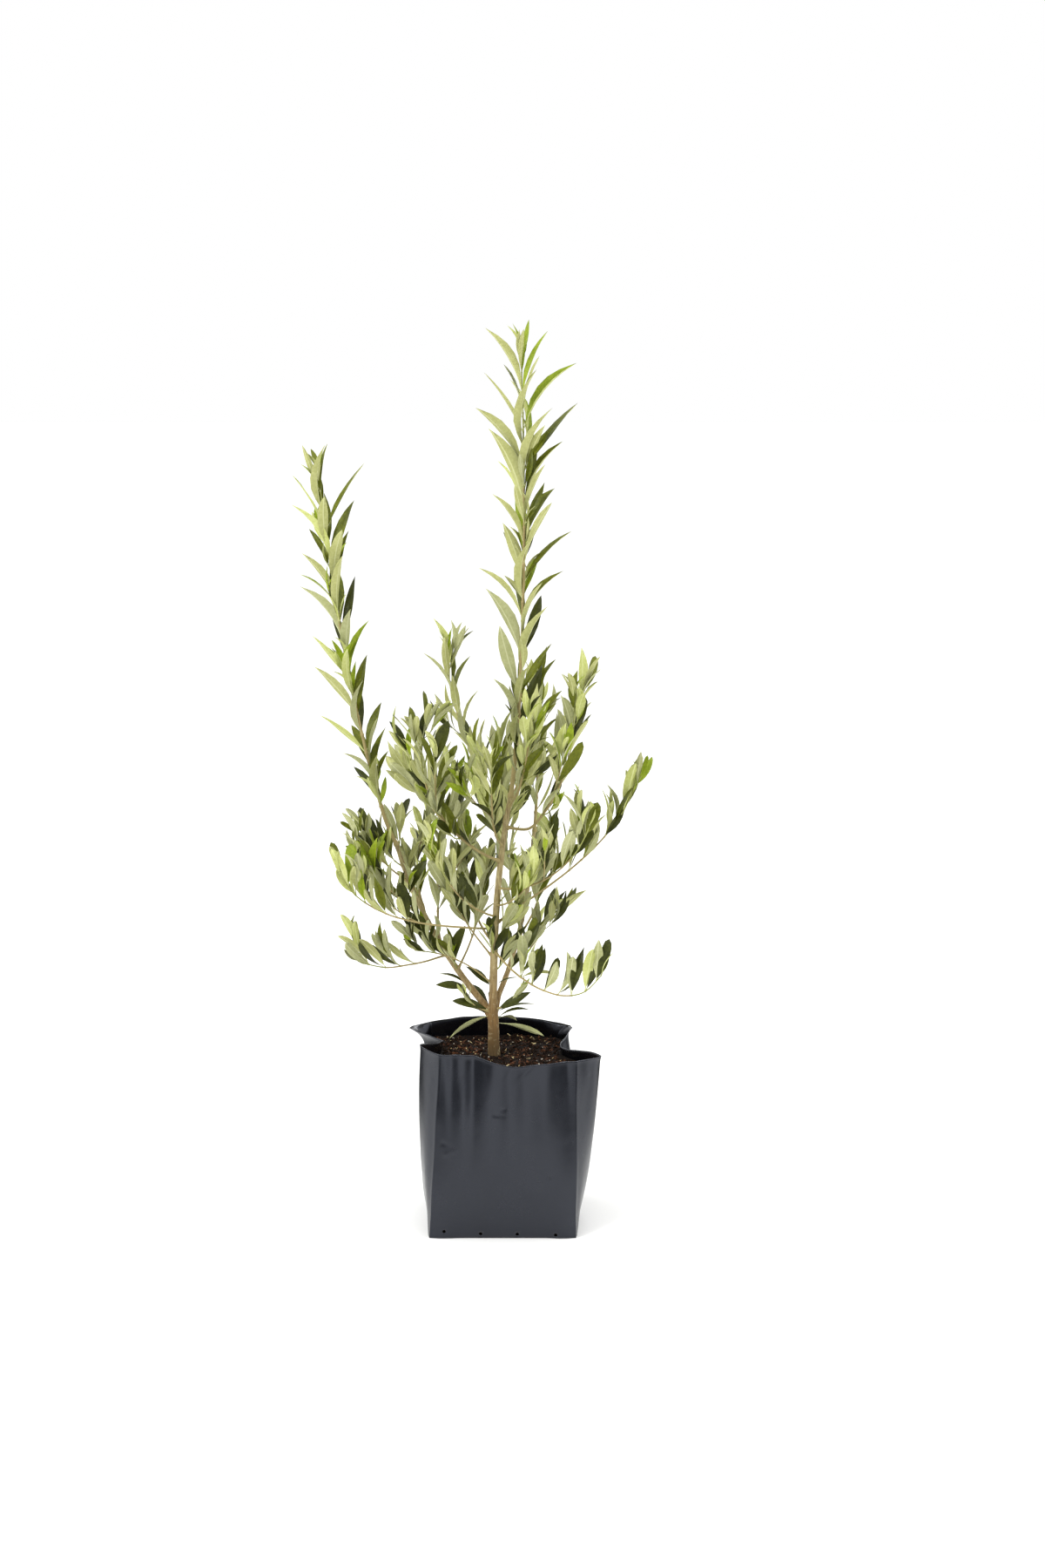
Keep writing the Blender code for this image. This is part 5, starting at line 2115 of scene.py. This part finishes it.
@dataclass(frozen=True)
class Fragments:
    """One kind of loose bit that lies on the filling."""
    name: str
    finish: DampFragment
    size: Triple
    kinds: int                   # how many shapes it comes in
    density: float               # bits for each square centimetre
    scale: Pair                  # smallest and largest, over its size
    tilt: float                  # degrees that it may lean
    clear: float                 # kept free to the wall and the stem
    seed: int

    CORNERS = 13
    REACHES = (0.8, 1.1)         # how far out they stand, over its size

    def shapes(self) -> Iterator[Piece]:
        """Its shapes, each an angular solid of a few dozen faces.

        Yields:
            Each shape.
        """
        for k in range(self.kinds):
            draw = random.Random(f"{self.name}_{k}")
            corners = []
            for _ in range(self.CORNERS):
                way = Vector([draw.gauss(0, 1) for _ in range(3)]).normalized()
                way *= draw.uniform(*self.REACHES)
                corners.append(Vector([way[axis] * self.size[axis] / 2 * MM for axis in range(3)]))
            yield object_from(f"{self.name}_{k}", hull(corners))


def scatter_tree() -> GeometryTree:
    """The tree that strews bits over a surface, where its room attribute leaves space.

    Returns:
        The tree.
    """
    strewn = GeometryTree("strewn_bits", {
        "Bits": "NodeSocketCollection", "Density": "NodeSocketFloat", "Clear": "NodeSocketFloat",
        "Smallest": "NodeSocketFloat", "Largest": "NodeSocketFloat", "Tilt": "NodeSocketFloat",
        "Seed": "NodeSocketInt", "Coat": "NodeSocketMaterial"})
    given = strewn.given
    room = strewn.add("GeometryNodeInputNamedAttribute", {"Name": "room"}, data_type="FLOAT")
    spot = strewn.add("FunctionNodeCompare", {
        0: room.outputs[0], 1: given["Clear"]}, operation="GREATER_THAN")
    places = strewn.add("GeometryNodeDistributePointsOnFaces", {
        "Mesh": given["Geometry"], "Selection": spot.outputs[0], "Density": given["Density"],
        "Seed": given["Seed"]})
    bits = strewn.add("GeometryNodeCollectionInfo", {
        "Collection": given["Bits"], "Separate Children": True, "Reset Children": True})
    low = strewn.add("ShaderNodeMath", {0: given["Tilt"], 1: -1.0}, operation="MULTIPLY")
    least = strewn.add("ShaderNodeCombineXYZ", {0: low.outputs[0], 1: low.outputs[0], 2: -math.pi})
    most = strewn.add("ShaderNodeCombineXYZ", {0: given["Tilt"], 1: given["Tilt"], 2: math.pi})
    turn = strewn.add("FunctionNodeRandomValue", {
        0: least.outputs[0], 1: most.outputs[0], "Seed": given["Seed"]}, data_type="FLOAT_VECTOR")
    size = strewn.add("FunctionNodeRandomValue", {
        2: given["Smallest"], 3: given["Largest"], "Seed": given["Seed"]}, data_type="FLOAT")
    kind = strewn.add("FunctionNodeRandomValue", {
        4: 0, 5: 100, "Seed": given["Seed"]}, data_type="INT")
    stood = strewn.add("GeometryNodeInstanceOnPoints", {
        "Points": places.outputs[0], "Instance": bits.outputs[0], "Pick Instance": True,
        "Instance Index": kind.outputs[2], "Rotation": turn.outputs[0], "Scale": size.outputs[1]})
    strewn.finish(stood.outputs[0], {"Coat": True})
    return strewn


@dataclass
class PottingBed:
    """The filling: a lumpy bed that meets the film all round, and the bits that lie on it."""
    bag: NurseryBag
    level: float = 173.5
    film_gap: float = 0.9        # between the film's outer face and the bed, at its top
    side_gap: float = 3.0        # and lower down, where the film lies off it
    rings: int = 46
    crowding: float = 0.9        # under 1, they lie closer near the stem
    lumps: tuple[Pair, ...] = ((30.0, 2.2), (12.0, 1.7), (5.0, 1.1), (2.4, 0.5))
    calm: float = 0.25           # share of the lumps' depth at the film
    calm_width: float = 6.0      # how slowly it grows away from there
    side_heights: tuple[float, ...] = (1.2, 6, 18, 40, 62, 84, 106, 128, 150, 164)
    stem: Pair = (-8.1, 0.0)
    stem_room: float = 7.5
    peat: DampFragment = DampFragment("damp_potting_mix", "#060302", "#1c110a", 1.3, 3.4)
    bits: tuple[Fragments, ...] = (
        Fragments("mix_crumbs", DampFragment("peat_crumb", "#080402", "#2b1a0d", 0.8, 3.0),
                  (6.0, 3.8, 3.2), 7, 6.5, (0.45, 1.2), 180, 4.0, 11),
        Fragments("bark_chips", DampFragment("composted_pine_bark", "#23100a", "#63402a", 0.7, 4.0),
                  (12.5, 3.4, 2.2), 8, 2.6, (0.30, 1.10), 38, 8.4, 23),
        Fragments("pale_flecks", DampFragment("weathered_wood_fleck", "#a08354", "#e6d7a6", 0.6, 2.0),
                  (8.0, 1.6, 1.2), 6, 0.8, (0.35, 1.15), 44, 6.0, 37),
        Fragments("grit_grains", DampFragment("washed_grit", "#8b8172", "#d6cfc2", 0.5, 1.5, 0.7),
                  (2.8, 2.4, 2.0), 5, 0.5, (0.5, 1.2), 180, 3.6, 41),
    )

    def outline(self, wall: np.ndarray, height: float, gap: float) -> np.ndarray:
        """The bed's edge at a height, inside the film.

        Args:
            wall: The bag's wall, by row and column.
            height: The height.
            gap: How far inside.

        Returns:
            One point for each column.
        """
        ring = np.array([[np.interp(height, column[:, 2], column[:, axis]) for axis in (0, 1)]
                         + [height] for column in wall.transpose(1, 0, 2)])
        return ring - self.bag.outward(ring) * gap

    def top(self, edge: np.ndarray) -> tuple[list[np.ndarray], list[float]]:
        """The top of the bed, in rings from its edge inwards.

        Args:
            edge: The bed's edge.

        Returns:
            The rings, then the room at each of their points.
        """
        centre = np.array([*self.stem, self.level])
        rings, room = [], []
        for k in range(self.rings):
            share = (k / self.rings) ** self.crowding
            ring = edge + (centre - edge) * share
            for point in ring:
                wall = np.linalg.norm(edge[:, :2] - point[:2], axis=1).min()
                trunk = math.dist(point[:2], self.stem) - self.stem_room
                room.append(min(wall, trunk) * MM)
                inner = min(1.0, self.calm + wall / self.calm_width)
                point[2] += inner * sum(depth * noise.noise(Vector(point) / size)
                                        for size, depth in self.lumps)
            rings.append(ring)
        return rings, room

    def build(self) -> list[Piece]:
        """Builds the bed and its loose bits.

        Returns:
            The bed, then each kind of bit.
        """
        wall = self.bag.wall()
        edge = self.outline(wall, self.level, self.film_gap)
        sides = [self.outline(wall, height, self.side_gap) for height in self.side_heights]
        top, room = self.top(edge)
        shape = bmesh.new()
        rings = [ring * MM for ring in sides + top]
        foot, *_ = add_skin(shape, rings, Vector((*self.stem, self.level)) * MM)
        shape.faces.new(foot[::-1]).smooth = True
        bed = object_from("mix_bed", shape)
        bed.data.materials.append(self.peat.make())
        free = [-1.0] * (len(sides) * len(edge)) + room + [-1.0]
        bed.data.attributes.new("room", "FLOAT", "POINT").data.foreach_set("value", free)
        tree = scatter_tree()
        pieces = [bed]
        for kind in self.bits:
            bits = new_object(kind.name, bed.data.copy())
            with shelf_of(kind.name + "_shapes", kind.shapes()) as shelf:
                tree.run(bits, {
                    "Bits": shelf, "Density": kind.density * 1e4, "Clear": kind.clear * MM,
                    "Smallest": kind.scale[0], "Largest": kind.scale[1],
                    "Tilt": math.radians(kind.tilt), "Seed": kind.seed, "Coat": kind.finish.make()})
            pieces.append(bits)
        return pieces


# --- Studio ---

@dataclass(frozen=True)
class Lamp:
    """A soft rectangular light. Its place and aim are in metres."""
    name: str
    place: Triple
    aim: Triple
    size: Pair
    power: float
    colour: str = "#ffffff"

    def make(self) -> None:
        """Hangs the lamp."""
        light = bpy.data.lights.new(self.name, "AREA")
        light.shape = "RECTANGLE"
        light.size, light.size_y = self.size
        light.energy = self.power
        light.color = linear(self.colour)[:3]
        lamp = bpy.data.objects.new(self.name, light)
        lamp.location = self.place
        way = Vector(self.aim) - Vector(self.place)
        lamp.rotation_euler = way.to_track_quat("-Z", "Y").to_euler()
        bpy.context.scene.collection.objects.link(lamp)


@dataclass
class Studio:
    """The camera, a pale floor and soft white light all round."""
    eye: Triple = (0.0219, -2.6, 0.9)
    pitch: float = 9.58          # degrees that the camera looks down
    lens: float = 59.0
    sensor: float = 36.0
    floor_size: float = 60.0
    floor_drop: float = 0.0004
    floor: str = "#f4f4f2"
    fibre: str = "#f8f8f7"
    fibre_size: float = 3.0
    dim_floor: str = "#3a3a3c"   # its colour in reflections: painted shade for the room's dark corners
    fall_from: float = 0.26      # distance at which those start, in metres
    fall_to: float = 0.55
    corners: int = 4
    corner_full: float = -0.6    # cosine round the floor where each is at its darkest
    backdrop: str = "#ffffff"
    glow: float = 0.34           # light from straight ahead and behind, over the backdrop's white
    side_glow: float = 0.85      # more from the left and right, as from two large screens
    top_glow: float = 1.05       # and more from above
    lamps: tuple[Lamp, ...] = (
        Lamp("key", (-1.7, -1.6, 2.2), (0.0, 0.0, 0.5), (1.3, 1.3), 46),
        Lamp("fill", (2.2, -1.2, 1.2), (0.0, 0.0, 0.4), (0.9, 1.8), 14),
        Lamp("back", (0.6, 2.2, 1.9), (0.0, 0.0, 0.5), (1.6, 1.2), 20),
    )

    def camera(self) -> None:
        """Sets up the camera."""
        data = bpy.data.cameras.new("camera")
        data.sensor_fit = "VERTICAL"
        data.sensor_height = self.sensor
        data.lens = self.lens
        data.clip_end = 200.0
        camera = bpy.data.objects.new("camera", data)
        camera.location = self.eye
        camera.rotation_euler = (math.radians(90 - self.pitch), 0.0, 0.0)
        bpy.context.scene.collection.objects.link(camera)
        bpy.context.scene.camera = camera

    def surroundings(self) -> None:
        """Lays the floor, hangs the lamps and sets the even light of the room."""
        half = self.floor_size / 2
        mesh = bpy.data.meshes.new("studio_floor")
        corners = [(x * half, y * half, -self.floor_drop)
                   for x, y in ((-1, -1), (1, -1), (1, 1), (-1, 1))]
        mesh.from_pydata(corners, [], [(0, 1, 2, 3)])
        mesh.materials.append(self.paper())
        new_object("studio_floor", mesh)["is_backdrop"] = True
        for lamp in self.lamps:
            lamp.make()
        bpy.context.scene.world = self.room_light()
        bpy.context.scene.view_settings.view_transform = "Standard"

    def paper(self) -> Material:
        """The floor's paper. In the film's gloss it has painted shade that falls off towards the room's
        four corners.

        Returns:
            The material.
        """
        paper = Surface("matt_studio_paper", Roughness=0.95, Specular_IOR_Level=0.1)
        fibres = paper.add("ShaderNodeTexNoise", {
            "Vector": paper.place, "Scale": per_metre(self.fibre_size)})
        tone = paper.lay(linear(self.floor), self.fibre, fibres.outputs["Fac"])
        turn = paper.add("ShaderNodeTexGradient", {"Vector": paper.place}, gradient_type="RADIAL")
        angle = paper.add("ShaderNodeMath", {
            0: turn.outputs["Fac"], 1: 2 * math.pi * self.corners}, operation="MULTIPLY")
        wave = paper.add("ShaderNodeMath", {0: angle.outputs[0]}, operation="COSINE")
        corner = paper.add("ShaderNodeMapRange", {
            "Value": wave.outputs[0], "From Min": 1.0, "From Max": self.corner_full})
        away = paper.add("ShaderNodeVectorMath", {0: paper.place}, operation="LENGTH")
        far = paper.add("ShaderNodeMapRange", {
            "Value": away.outputs["Value"], "From Min": self.fall_from, "From Max": self.fall_to})
        seen = paper.add("ShaderNodeLightPath").outputs["Is Glossy Ray"]
        fall = seen
        for share in (corner.outputs["Result"], far.outputs["Result"]):
            fall = paper.add("ShaderNodeMath", {0: fall, 1: share}, operation="MULTIPLY").outputs[0]
        # painted shade: glossy rays see the floor dimmer away from the plant and towards the corners
        paper.set("Base Color", paper.lay(tone, self.dim_floor, fall))
        return paper.material

    def room_light(self) -> bpy.types.World:
        """The room: a white backdrop that lights the plant more from above and from both sides.

        Returns:
            The room's world.
        """
        world = bpy.data.worlds.new("soft_room")
        world.use_nodes = True
        world.node_tree.nodes.clear()
        room = NodeWork(world.node_tree)
        way = room.add("ShaderNodeTexCoord")
        split = room.add("ShaderNodeSeparateXYZ", {"Vector": way.outputs["Generated"]})
        square = room.add("ShaderNodeMath", {
            0: split.outputs["X"], 1: split.outputs["X"]}, operation="MULTIPLY")
        sides = room.add("ShaderNodeMath", {
            0: square.outputs[0], 1: self.side_glow, 2: self.glow}, operation="MULTIPLY_ADD")
        above = room.add("ShaderNodeMath", {0: split.outputs["Z"], 1: 0.0}, operation="MAXIMUM")
        total = room.add("ShaderNodeMath", {
            0: above.outputs[0], 1: self.top_glow, 2: sides.outputs[0]}, operation="MULTIPLY_ADD")
        seen = room.add("ShaderNodeLightPath").outputs["Is Camera Ray"]
        strength = room.add("ShaderNodeMix", {0: seen, 2: total.outputs[0], 3: 1.0})
        light = room.add("ShaderNodeBackground", {
            "Color": linear(self.backdrop), "Strength": strength.outputs[0]})
        room.add("ShaderNodeOutputWorld", {"Surface": light.outputs[0]})
        return world


def main() -> None:
    """Builds the studio, the bag, its filling and the tree, in that order."""
    logging.basicConfig(level=logging.INFO, format="%(name)s: %(message)s")
    studio = Studio()
    studio.camera()
    studio.surroundings()
    bag = NurseryBag()
    hand_in(bag.build(), "black_film", ["planter_bag"])
    bed, *bits = PottingBed(bag).build()
    hand_in(bed, "potting_mix", ["potting_mix"])
    for piece in bits:
        hand_in(piece, "potting_mix", [])
    hand_in(BarkedStem().build(), "olive_bark", [TRUNK.name, *(limb.name for limb in LIMBS)])
    crown = Crown()
    crown.grow()
    LOG.info("%d branches, %d leaves", len(crown.branches), len(crown.leaves))
    shoots = [shoot.name for shoot in SHOOTS]
    for piece in crown.twig_pieces():
        hand_in(piece, "young_bark", shoots)
    for piece in crown.leaf_pieces():
        hand_in(piece, "olive_foliage", shoots)
    boxes = {"cad": CAD_BOX, "visual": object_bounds()}
    ({name: [[float(v) for v in corner] for corner in box]
               for name, box in boxes.items()})


if __name__ == "__main__":
    main()
